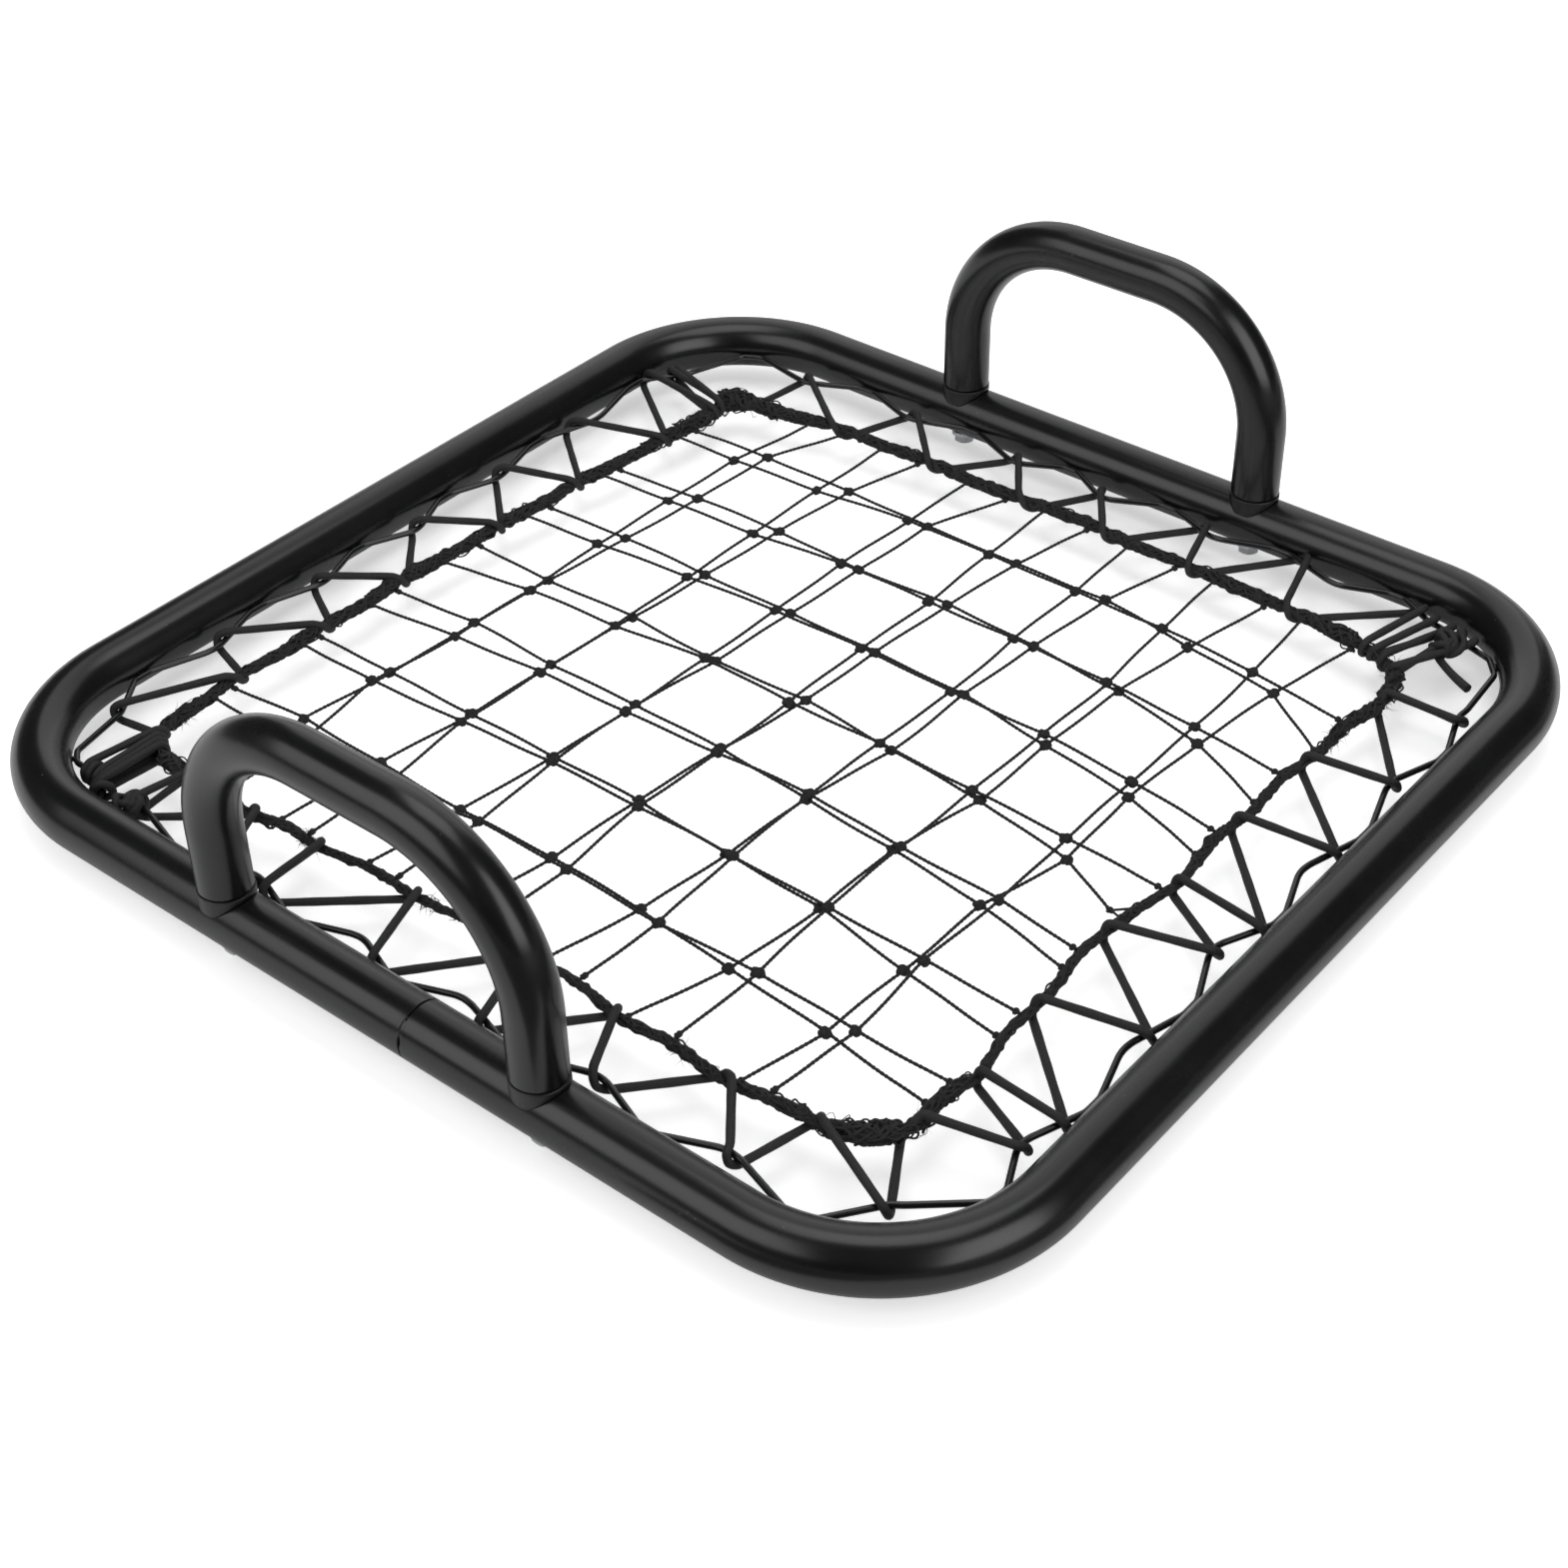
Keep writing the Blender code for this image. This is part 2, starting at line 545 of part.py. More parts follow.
def stopper_knot(rope):
    """Cut tail and barrel knot in which the rear cord starts: a coil round the cord's own first run."""
    centre = ring_point(*STOPPER_AT)
    ahead = rope.at(REAR_LACING[0][1]) - centre
    ahead = ahead / np.linalg.norm(ahead)
    aside = np.array((ahead[1], -ahead[0]))
    per_turn = 8
    radius = (LACE_D + 2 * FIT_GAP) / math.cos(math.pi / per_turn)
    pitch = LACE_D + 3 * FIT_GAP
    length = STOPPER_TURNS * pitch
    tail = ring_point(*TAIL_END_AT)
    front = centre + ahead * length / 2
    points = [(*tail, BED_Z), (*(0.4 * tail + 0.6 * front), BED_Z - 0.8 * radius)]
    count = round(STOPPER_TURNS * per_turn)
    for k in range(count + 1):
        angle = 2 * math.pi * k / per_turn - math.pi / 2
        plan = front - ahead * pitch * k / per_turn + aside * radius * math.cos(angle)
        points.append((*plan, BED_Z + radius * math.sin(angle)))
    end = centre - ahead * length / 2
    lean = math.sin(2 * math.pi * STOPPER_TURNS - math.pi / 2)
    for angle in (math.pi / 4, math.pi / 2, 3 * math.pi / 4, math.pi):
        plan = end - ahead * radius / 2 * math.sin(angle) * 1.3
        points.append((*plan, BED_Z + lean * radius * (1 + math.cos(angle)) / 2))
    points.append((*(front + ahead * LACE_R), BED_Z))
    return points


def lacing_points(stops, wire, rope, level):
    """Points of a whole lacing cord, from stop to stop, changing sides at each."""
    points = []
    for stop in stops:
        if stop[0] == "wire":
            points += half_turns(wire, stop, level, WIRE_D / 2, -1)
        else:
            points += half_turns(rope, stop, level, ROPE_R, 1)
        level = -level
    return points


def rear_lacing_cord(wire, rope):
    """Elastic cord that laces the back and left sides and lashes both knotted corners."""
    points = stopper_knot(rope) + lacing_points(REAR_LACING, wire, rope, -1)
    print_least_gap("rear_lacing_cord", points)
    return add_cord("rear_lacing_cord", points, LACE_D, BLACK_ELASTIC)


def front_lacing_cord(wire, rope):
    """Elastic cord that laces the right and front sides."""
    points = lacing_points(FRONT_LACING, wire, rope, 1)
    tuck = ring_point(*TUCK_AT)
    points.append((tuck[0], tuck[1], BED_Z - TUCK_DEPTH))
    print_least_gap("front_lacing_cord", points)
    return add_cord("front_lacing_cord", points, LACE_D, BLACK_ELASTIC)


def print_least_gap(name, points, spacing=0.0008):
    """Measure how near a cord comes to itself, leaving out neighbours along it, and print it."""
    spots = np.array(points)
    runs = np.linalg.norm(np.diff(spots, axis=0), axis=1)
    along = np.concatenate(([0.0], np.cumsum(runs)))
    places = np.arange(0.0, along[-1], spacing)
    line = np.stack([np.interp(places, along, spots[:, k]) for k in range(3)], axis=1)
    least = math.inf
    for k, spot in enumerate(line):
        far = line[k + int(3 * LACE_D / spacing):]
        if len(far):
            least = min(least, np.linalg.norm(far - spot, axis=1).min())
    print(f"{name}: {along[-1]:.3f} m long, least gap to itself {1000 * (least - LACE_D):.2f} mm")


def wrap_spots():
    """Where the lacing crosses the inner side of the rope, and how much room it takes there."""
    spots = []
    for _, come, leave, halves in (s for s in REAR_LACING + FRONT_LACING if s[0] == "rope"):
        for k in range(halves):
            share = come + (leave - come) * (k + 0.5) / halves
            travel = abs(leave - come) / halves * ring_length()
            spots.append((share % 1.0, LACE_R + NET_CORD / 2 + 3 * FIT_GAP + 0.2 * travel))
    return spots


def clear_share(share, spots, rope):
    """Move a net cord's end along the rope, a little at a time, until it is clear of the lacing."""
    for _ in range(3):
        for spot, room in spots:
            off = (share - spot + 0.5) % 1.0 - 0.5
            while np.linalg.norm(rope.at(share) - rope.at(spot)) < room:
                share += math.copysign(0.0003, off)
    return share


def net_knot_place(layer, column, row):
    """Plan place of a knot, counted from the middle knot."""
    half = (NET_KNOTS - 1) / 2
    u = column / half
    x = layer["middle"][0] + layer["pitch"][0] * column + layer["lean"] * row
    y = layer["middle"][1] + layer["pitch"][1] * row - layer["fall"] * u - layer["bow"] * u ** 2
    return np.array((x, y))


def net_end_place(layer, side, column, row, rope, spots):
    """Where a cord of the net ends at the inner side of the border rope."""
    x, y = net_knot_place(layer, column, row)
    quarter = {"front": 0.0, "right": 0.25, "back": 0.5, "left": 0.75}[side]
    along = {"front": x, "right": y, "back": -x, "left": -y}[side]
    place = {"front": column, "right": row, "back": column, "left": row}[side] / ((NET_KNOTS - 1) / 2)
    middle, spread = layer["drift"][side]
    drift = (middle + spread * place) * {"front": 1, "right": 1, "back": -1, "left": -1}[side]
    share = clear_share(quarter + (along + drift) / ring_length(), spots, rope)
    return rope.at(share) + rope.inward(share) * (ROPE_R + NET_END_GAP)


def net_layer(name, rope):
    """One layer of the net: knots in rows and columns, joined by twine that ends at the rope."""
    layer = NET_LAYERS[name]
    bm = bmesh.new()
    half = (NET_KNOTS - 1) // 2
    z = BED_Z + layer["level"] * NET_GAP
    reach = KNOT_WIDTH / 2
    wide = NET_CORD / 2
    ways = {"right": (1, 0), "back": (0, 1), "left": (-1, 0), "front": (0, -1)}
    doors = {}
    steps = range(-half, half + 1)
    for column in steps:
        for row in steps:
            place = net_knot_place(layer, column, row)
            doors.update(add_net_knot(bm, place, z, reach, wide, ways, (column, row)))
    spots = wrap_spots()
    for column in steps:
        for row in steps:
            for side, opposite, move in (("right", "left", (1, 0)), ("back", "front", (0, 1))):
                beyond = (column + move[0], row + move[1])
                if (beyond, opposite) in doors:
                    join_doors(bm, doors[(column, row), side], doors[beyond, opposite])
            for side, move in ways.items():
                if ((column + move[0], row + move[1]), "left") not in doors:
                    end = net_end_place(layer, side, column, row, rope, spots)
                    add_net_end(bm, doors[(column, row), side], end)
    bmesh.ops.recalc_face_normals(bm, faces=bm.faces[:])
    return add_piece(name, bm, BLACK_NET, smooth_angle=60.0)


def add_net_knot(bm, place, z, reach, wide, ways, key):
    """Add an eight-sided knot; return the corner points of its four openings for the twine."""
    doors = {}
    low = []
    high = []
    for side, (dx, dy) in ways.items():
        pairs = []
        for swing in (-1, 1):
            x = place[0] + dx * reach - dy * swing * wide
            y = place[1] + dy * reach + dx * swing * wide
            pairs.append([bm.verts.new((x, y, z - wide)), bm.verts.new((x, y, z + wide))])
            low.append(pairs[-1][0])
            high.append(pairs[-1][1])
        doors[key, side] = (pairs[0][0], pairs[1][0], pairs[1][1], pairs[0][1])
    for ring, height in ((low, -KNOT_HEIGHT / 2), (high, KNOT_HEIGHT / 2)):
        tip = bm.verts.new((place[0], place[1], z + height))
        for k in range(8):
            bm.faces.new((ring[k], ring[(k + 1) % 8], tip))
    for k in range(1, 8, 2):
        bm.faces.new((low[k], low[(k + 1) % 8], high[(k + 1) % 8], high[k]))
    return doors


def join_doors(bm, here, there):
    """Join two facing openings with a length of twine."""
    facing = (there[1], there[0], there[3], there[2])
    for k in range(4):
        bm.faces.new((here[k], here[(k + 1) % 4], facing[(k + 1) % 4], facing[k]))


def add_net_end(bm, door, end):
    """Run a length of twine from a knot to its end at the rope."""
    middle = sum((v.co for v in door), Vector()) / 4
    ahead = Vector((end[0] - middle.x, end[1] - middle.y, 0.0)).normalized()
    sideways = Vector((-ahead.y, ahead.x, 0.0)) * NET_CORD / 2
    upward = Vector((0, 0, NET_CORD / 2))
    tip = Vector((end[0], end[1], middle.z))
    swings = ((-1, -1), (1, -1), (1, 1), (-1, 1))
    far = [bm.verts.new(tip + a * sideways + b * upward) for a, b in swings]
    for k in range(4):
        bm.faces.new((door[k], door[(k + 1) % 4], far[(k + 1) % 4], far[k]))
    bm.faces.new(far)


def build():
    """Make every piece of the rebounder."""
    clear_scene()
    frame_tube()
    joint_sleeve()
    seats = seat_cutter()
    holes = bpy.data.objects["bolt_hole_cutter"]
    grip_handle("handle_front", HANDLE_FRONT_X, -FRAME_D / 2)
    grip_handle("handle_back", HANDLE_BACK_X, FRAME_D / 2)
    for leg, place in zip(LEG_NAMES, LEGS):
        saddle_collar("collar_" + leg, place, seats, holes)
        leg_plug("plug_" + leg, place, holes)
        leg_bolt("bolt_" + leg, place)
        saddle_washer("washer_" + leg, place, seats, holes)
    wire = wire_way()
    rope = Way(*zip(*ROPE_ROUTE))
    add_cord("lacing_wire", wire.points_3d(BED_Z), WIRE_D, BLACK_WIRE, closed=True)
    add_cord("border_rope", rope.points_3d(BED_Z), ROPE_D, BLACK_ROPE, closed=True, fineness=2)
    for name in NET_LAYERS:
        net_layer(name, rope)
    rear_lacing_cord(wire, rope)
    front_lacing_cord(wire, rope)


build()
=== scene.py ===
# %% [markdown]
# # A hand-held football rebounder, piece by piece
#
# The object is a round-cornered square of black steel tube. A knotted net is laced inside it with
# elastic cord, and two bent handles stand on opposite sides. Its working parts already exist as
# plain solids. This lesson dresses them: every piece is worked out again as a fine surface, in the
# same place, and gets the finish that it has on the real thing.

# %% Load the plain solids
import math

import bpy
import numpy as np
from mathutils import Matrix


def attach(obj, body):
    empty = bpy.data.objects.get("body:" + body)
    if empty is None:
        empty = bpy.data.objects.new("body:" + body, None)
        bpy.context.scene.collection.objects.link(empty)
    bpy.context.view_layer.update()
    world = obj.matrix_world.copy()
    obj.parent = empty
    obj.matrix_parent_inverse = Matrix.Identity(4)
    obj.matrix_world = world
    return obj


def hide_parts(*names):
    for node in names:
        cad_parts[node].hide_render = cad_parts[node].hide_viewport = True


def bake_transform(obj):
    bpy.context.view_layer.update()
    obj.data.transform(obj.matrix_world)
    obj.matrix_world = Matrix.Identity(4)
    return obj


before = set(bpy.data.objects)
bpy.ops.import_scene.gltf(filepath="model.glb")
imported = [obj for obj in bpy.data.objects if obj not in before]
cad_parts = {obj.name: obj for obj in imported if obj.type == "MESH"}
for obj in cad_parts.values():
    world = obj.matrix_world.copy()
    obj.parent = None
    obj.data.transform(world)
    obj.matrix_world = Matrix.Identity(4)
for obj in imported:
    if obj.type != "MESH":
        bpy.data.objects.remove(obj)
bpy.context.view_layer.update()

# %% [markdown]
# ## The sizes that the pieces share
#
# All lengths are in metres. The frame is a square of 28 mm tube, measured on its centre line, and
# the bed hangs a little below the tube's middle. A point of the lacing is given by two numbers:
# how far round the frame it lies, as a share of the whole way, and how far in from the tube. Pairs
# like these stay readable, and they follow the frame if it changes.

# %% Sizes
FRAME_W, FRAME_D, CORNER_R = 0.555, 0.540, 0.084
TUBE_R = 0.014
HANDLE_R = 0.0125
TUBE_Z = 0.0196
BED_Z = 0.0181
HANDLE_TOP = TUBE_Z + 0.1165
HANDLE_BEND_R = 0.067
LEG_SPACING = 0.184
HANDLE_X = {"front": -0.001, "back": -0.0045}
SEAM_X = 0.024
WIRE_R = 0.00135
ROPE_R = 0.004
LACE_R = 0.002
FIT = 0.0003
COLLAR_TOP_Z = TUBE_Z + TUBE_R + 0.0025
LEG_FOOT_Z = COLLAR_TOP_Z + 0.0006
LEGS = {
    "front_left": (HANDLE_X["front"] - LEG_SPACING / 2, -FRAME_D / 2),
    "front_right": (HANDLE_X["front"] + LEG_SPACING / 2, -FRAME_D / 2),
    "back_left": (HANDLE_X["back"] - LEG_SPACING / 2, FRAME_D / 2),
    "back_right": (HANDLE_X["back"] + LEG_SPACING / 2, FRAME_D / 2),
}
RING = 2 * (FRAME_W + FRAME_D) - (8 - 2 * math.pi) * CORNER_R
print(f"the tube's centre line is {RING:.3f} m round")

# %% [markdown]
# ## The camera
#
# A photograph shows straight edges running to their vanishing points, and four sides and two
# handles are enough to work out where it was taken from. The camera is written as that place, the
# way it looks and its roll, so nothing depends on a guess by eye.

# %% Camera
CAMERA_PLACE = (0.64234, -0.77555, 0.74299 + TUBE_Z)
CAMERA_AHEAD = (-0.504113, 0.602051, -0.619197)
CAMERA_ROLL = -1.12234
LENS_MM, SENSOR_MM = 60.469, 36.0


def look_matrix(place, ahead, roll):
    """Camera axes from its place, its viewing direction and a turn about that direction."""
    ahead = np.array(ahead) / np.linalg.norm(ahead)
    right = np.cross(ahead, (0.0, 0.0, 1.0))
    right = right / np.linalg.norm(right)
    up = np.cross(right, ahead)
    turn = math.radians(roll)
    across = right * math.cos(turn) + up * math.sin(turn)
    upward = up * math.cos(turn) - right * math.sin(turn)
    matrix = np.eye(4)
    matrix[:3, 0], matrix[:3, 1], matrix[:3, 2], matrix[:3, 3] = across, upward, -ahead, place
    return matrix


camera = bpy.data.objects.new("camera", bpy.data.cameras.new("camera"))
bpy.context.scene.collection.objects.link(camera)
camera.data.lens = LENS_MM
camera.data.sensor_width = SENSOR_MM
camera.data.clip_end = 50.0
camera.matrix_world = look_matrix(CAMERA_PLACE, CAMERA_AHEAD, CAMERA_ROLL).T.tolist()
bpy.context.scene.camera = camera
print("camera height over the floor:", round(camera.matrix_world.translation.z, 3))

# %% [markdown]
# ## One helper for every surface
#
# A tube, a cord, a rope ply and a hair are all the same thing: a ring of points carried along a
# path. If the ring's size may change along the way and round the ring, one function makes a smooth
# steel tube, a twisted twine and a braided cord. The grid is worked out as one array. Each grid
# also carries a map of its own surface: how far along, in metres, and how far round, from 0 to 1.
# The finishes use that map, so a braid follows its cord round every bend.

# %% Paths
def run_along(points):
    """Distance run at each point of a line."""
    return np.concatenate(([0.0], np.cumsum(np.linalg.norm(np.diff(points, axis=0), axis=1))))


def rounded_path(points, spacing, soft, closed=False):
    """Even points on a line whose corners are rounded off, as wire and cord round off: the line is
    a running mean of the given corner points, weighted by a bell curve of the given half width."""
    corners = np.asarray(points, float)
    if closed:
        corners = np.concatenate((corners, corners[:1]))
    along = run_along(corners)
    count = max(4, round(along[-1] / spacing))
    places = np.linspace(0, along[-1], count + 1)[:count if closed else None]
    line = np.stack([np.interp(places, along, corners[:, k]) for k in range(3)], axis=1)
    reach = min(math.ceil(3 * soft / spacing), len(line) - 2)
    weight = np.exp(-0.5 * (np.arange(-reach, reach + 1) * spacing / soft) ** 2)
    if closed:
        padded = np.concatenate((line[-reach:], line, line[:reach]))
    else:
        before, after = 2 * line[0] - line[reach:0:-1], 2 * line[-1] - line[-2:-reach - 2:-1]
        padded = np.concatenate((before, line, after))
    smooth = [np.convolve(padded[:, k], weight / weight.sum(), "valid") for k in range(3)]
    return np.stack(smooth, axis=1)


def headings(path, closed=False):
    """Unit direction of travel at each point of a path, from its two neighbours."""
    if closed:
        step = np.roll(path, -1, axis=0) - np.roll(path, 1, axis=0)
    else:
        step = np.gradient(path, axis=0)
    return step / np.linalg.norm(step, axis=-1, keepdims=True)


def side_frames(path, side, closed=False):
    """Two directions square to a path that never runs along the fixed direction given."""
    ahead = headings(path, closed)
    first = np.asarray(side, float) - (ahead @ np.asarray(side, float))[:, None] * ahead
    first = first / np.linalg.norm(first, axis=1, keepdims=True)
    return first, np.cross(ahead, first)


def carried_frames(path):
    """Two directions square to a path that turns any way: the first pair is carried along by the
    least turn from each step to the next."""
    ahead = headings(path)
    first = np.empty_like(path)
    guess = np.cross(ahead[0], (0.0, 0.0, 1.0))
    first[0] = guess / np.linalg.norm(guess)
    for k in range(1, len(path)):
        swing = first[k - 1] - ahead[k] * (first[k - 1] @ ahead[k])
        first[k] = swing / np.linalg.norm(swing)
    return first, np.cross(ahead, first)


# %% Grids
def ring_grid(path, frames, radius, sides, closed=False):
    """Rings of points carried along a path. The radius is a function of the distance along and the
    angle round, as arrays, or one number."""
    along = run_along(path)
    angle = np.linspace(0, 2 * math.pi, sides, endpoint=False)
    size = radius(along[:, None], angle[None, :]) if callable(radius) else radius
    size = np.broadcast_to(size, (len(path), sides))[..., None]
    first, second = frames[0][:, None], frames[1][:, None]
    spokes = np.cos(angle)[None, :, None] * first + np.sin(angle)[None, :, None] * second
    return {"points": path[:, None] + size * spokes, "along": along, "closed": closed}


def closed_tube(path, radius, sides, side=(0, 0, 1)):
    """Rings along a path that ends where it starts and never runs along the direction given."""
    return ring_grid(path, side_frames(path, side, True), radius, sides, closed=True)


def grid_faces(rows, sides, closed):
    """Corner numbers of the four-sided faces of a grid that closes round, and may close along."""
    i = np.arange(rows if closed else rows - 1)[:, None]
    j = np.arange(sides)[None, :]
    here, after = i * sides, ((i + 1) % rows) * sides
    turn = (j + 1) % sides
    corners = np.stack((here + j, here + turn, after + turn, after + j), axis=-1)
    return corners.reshape(-1, 4)


def grid_map(grid):
    """Surface map of the same faces: distance along in metres and share of the way round."""
    rows, sides = grid["points"].shape[:2]
    along = grid["along"]
    if grid["closed"]:
        along = np.append(along, 2 * along[-1] - along[-2])
    low, high = along[:-1, None], along[1:, None]
    j = np.arange(sides)[None, :] / sides
    step = 1 / sides
    u = np.stack(np.broadcast_arrays(low, low, high, high), axis=-1) + np.zeros((1, sides, 1))
    v = np.stack(np.broadcast_arrays(j, j + step, j + step, j), axis=-1) + np.zeros((len(low), 1, 1))
    return np.stack((u, v), axis=-1).reshape(-1, 2)


def new_object(name, points, faces, finish):
    """An object at the origin from points and faces."""
    mesh = bpy.data.meshes.new(name)
    mesh.from_pydata(points, [], faces)
    mesh.materials.append(finish)
    made = bpy.data.objects.new(name, mesh)
    bpy.context.scene.collection.objects.link(made)
    return made


def make_piece(name, grids, finish, body=None, replaces=()):
    """Put one or more grids into one object. Open grids get a flat cap at both ends."""
    verts, faces, maps, start = [], [], [], 0
    for grid in grids:
        rows, sides = grid["points"].shape[:2]
        verts.append(grid["points"].reshape(-1, 3))
        faces += (grid_faces(rows, sides, grid["closed"]) + start).tolist()
        maps.append(grid_map(grid))
        if not grid["closed"]:
            last = start + (rows - 1) * sides
            faces.append(list(range(start + sides - 1, start - 1, -1)))
            faces.append(list(range(last, last + sides)))
            tips = (grid["along"][0], 0.0), (grid["along"][-1], 0.0)
            maps.append(np.repeat(tips, sides, axis=0))
        start += rows * sides
    piece = new_object(name, np.concatenate(verts), faces, finish)
    surface = piece.data.uv_layers.new(name="surface")
    surface.data.foreach_set("uv", np.concatenate(maps).astype(np.float32).ravel())
    piece.data.shade_smooth()
    piece.data.set_sharp_from_angle(angle=math.radians(50))
    if body:
        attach(piece, body)
    if replaces:
        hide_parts(*replaces)
    print(f"{name}: {sum(len(f) - 2 for f in faces)} triangles")
    return piece


# %% [markdown]
# ## Finishes
#
# Everything here is black, so the pieces are told apart by how they take the light. The tube has
# a semi-gloss powder coat with a very fine orange peel and specks of dust. The wire is glossier.
# Elastic sheath, twine and rope are dull fibre. A finish reads either the object's own coordinates
# or the surface map. Numbers that are the same all over sit on the shader itself.

# %% Finish helpers
class Finish:
    """A Principled material with its nodes added by short calls."""

    def __init__(self, name, colour, roughness, metallic=0.0, **sockets):
        self.material = bpy.data.materials.new(name)
        self.material.use_nodes = True
        self.tree = self.material.node_tree
        self.shader = self.tree.nodes["Principled BSDF"]
        self.shader.inputs["Base Color"].default_value = (*colour, 1.0)
        self.shader.inputs["Roughness"].default_value = roughness
        self.shader.inputs["Metallic"].default_value = metallic
        for socket, value in sockets.items():
            self.shader.inputs[socket.replace("_", " ")].default_value = value

    def node(self, kind, **values):
        """Add a node; keyword names are its properties or, where it has none, its inputs."""
        made = self.tree.nodes.new("ShaderNode" + kind)
        for key, value in values.items():
            if hasattr(made, key):
                setattr(made, key, value)
            else:
                made.inputs[key.replace("_", " ")].default_value = value
        return made

    def link(self, out, into):
        self.tree.links.new(out, into)

    def place(self):
        """Object coordinates in metres."""
        return self.node("TexCoord").outputs["Object"]

    def surface(self):
        """The surface map: along and round."""
        return self.node("UVMap", uv_map="surface").outputs["UV"]

    def noise(self, where, scale, detail=3.0, roughness=0.5):
        made = self.node("TexNoise", Scale=scale, Detail=detail, Roughness=roughness)
        self.link(where, made.inputs["Vector"])
        return made.outputs["Fac"]

    def ramp(self, value, low, high, from_low=0.0, from_high=1.0):
        """Carry a value from one range to another, held at its ends."""
        made = self.node("MapRange", From_Min=from_low, From_Max=from_high, To_Min=low, To_Max=high)
        self.link(value, made.inputs["Value"])
        return made.outputs["Result"]

    def blend(self, share, first, second):
        """Mix two colours, or a socket and a colour, by a share."""
        made = self.node("Mix", data_type="RGBA")
        self.link(share, made.inputs["Factor"])
        for socket, value in ((made.inputs[6], first), (made.inputs[7], second)):
            if isinstance(value, tuple):
                socket.default_value = (*value, 1.0)
            else:
                self.link(value, socket)
        return made.outputs[2]

    def maths(self, operation, first, second=None):
        """One arithmetic step on sockets or numbers."""
        made = self.node("Math", operation=operation)
        for socket, value in ((made.inputs[0], first), (made.inputs[1], second)):
            if value is None:
                continue
            if isinstance(value, (int, float)):
                socket.default_value = value
            else:
                self.link(value, socket)
        return made.outputs[0]

    def stretch(self, where, scale):
        """Scale coordinates by three numbers."""
        made = self.node("Mapping")
        made.inputs["Scale"].default_value = scale
        self.link(where, made.inputs["Vector"])
        return made.outputs["Vector"]

    def bumps(self, height, distance, strength=1.0, under=None):
        made = self.node("Bump", Distance=distance, Strength=strength)
        self.link(height, made.inputs["Height"])
        if under is not None:
            self.link(under, made.inputs["Normal"])
        return made.outputs["Normal"]

    def use(self, colour=None, roughness=None, normal=None):
        for value, socket in ((colour, "Base Color"), (roughness, "Roughness"), (normal, "Normal")):
            if value is not None:
                self.link(value, self.shader.inputs[socket])
        return self.material


# %% Powder coat and coated wire
def coat_finish(name, colour, roughness, dusty):
    """Black powder coat: a trace of orange peel, patches a little more or less glossy, dust."""
    f = Finish(name, colour, roughness)
    place = f.place()
    peel = f.noise(place, 620.0, 1.0)
    patches = f.noise(place, 22.0, 4.0, 0.6)
    spots = f.node("TexVoronoi", Scale=170.0, Randomness=1.0)
    f.link(place, spots.inputs["Vector"])
    chosen = f.maths("GREATER_THAN", f.noise(place, 61.0, 1.0), dusty)
    speck = f.maths("MULTIPLY", f.ramp(spots.outputs["Distance"], 1.0, 0.0, 0.03, 0.09), chosen)
    tint = f.blend(f.ramp(patches, 0.0, 1.0, 0.3, 0.7), tuple(0.85 * c for c in colour),
                   tuple(1.15 * c for c in colour))
    tint = f.blend(f.maths("MULTIPLY", speck, 0.55), tint, (0.16, 0.16, 0.17))
    gloss = f.ramp(patches, roughness - 0.025, roughness + 0.035, 0.25, 0.75)
    return f.use(tint, gloss, f.bumps(peel, 0.00002, 0.16))


POWDER_COAT = coat_finish("powder coat", (0.0052, 0.0054, 0.0062), 0.255, 0.66)
WIRE_COAT = coat_finish("coated wire", (0.0070, 0.0072, 0.0080), 0.22, 0.8)

# %% Elastic sheath, twine and rope
def sheath_finish():
    """Braided sheath: two sets of slanting yarns cross in the surface map, one over the other."""
    f = Finish("elastic sheath", (0.009, 0.009, 0.0095), 0.72)
    split = f.node("SeparateXYZ")
    f.link(f.surface(), split.inputs[0])
    along, around = split.outputs[0], split.outputs[1]
    yarns, lay = 12, 0.0118
    climb = f.maths("MULTIPLY", along, yarns / lay)
    left = f.maths("FRACT", f.maths("ADD", f.maths("MULTIPLY", around, yarns), climb))
    right = f.maths("FRACT", f.maths("SUBTRACT", f.maths("MULTIPLY", around, yarns), climb))
    ridges = [f.ramp(f.maths("ABSOLUTE", f.maths("SUBTRACT", yarn, 0.5)), 1.0, 0.0, 0.1, 0.5)
              for yarn in (left, right)]
    weave = f.maths("MULTIPLY", *ridges)
    hair = f.noise(f.stretch(f.surface(), (900.0, 26.0, 1.0)), 1.0, 3.0)
    worn = f.noise(f.place(), 60.0, 3.0)
    # The weave also paints shade into the colour: dark at the yarns' edges and in the gaps between them,
    # lighter where they cross on top. The worn patches are real wear.
    tint = f.blend(weave, (0.0028, 0.0028, 0.0030), (0.0205, 0.0205, 0.0210))
    tint = f.blend(f.ramp(worn, 0.0, 0.35, 0.45, 0.75), tint, (0.0180, 0.0175, 0.0170))
    gloss = f.ramp(hair, 0.60, 0.84, 0.3, 0.7)
    normal = f.bumps(weave, 0.00014, 0.8)
    normal = f.bumps(hair, 0.00005, 0.5, normal)
    return f.use(tint, gloss, normal)


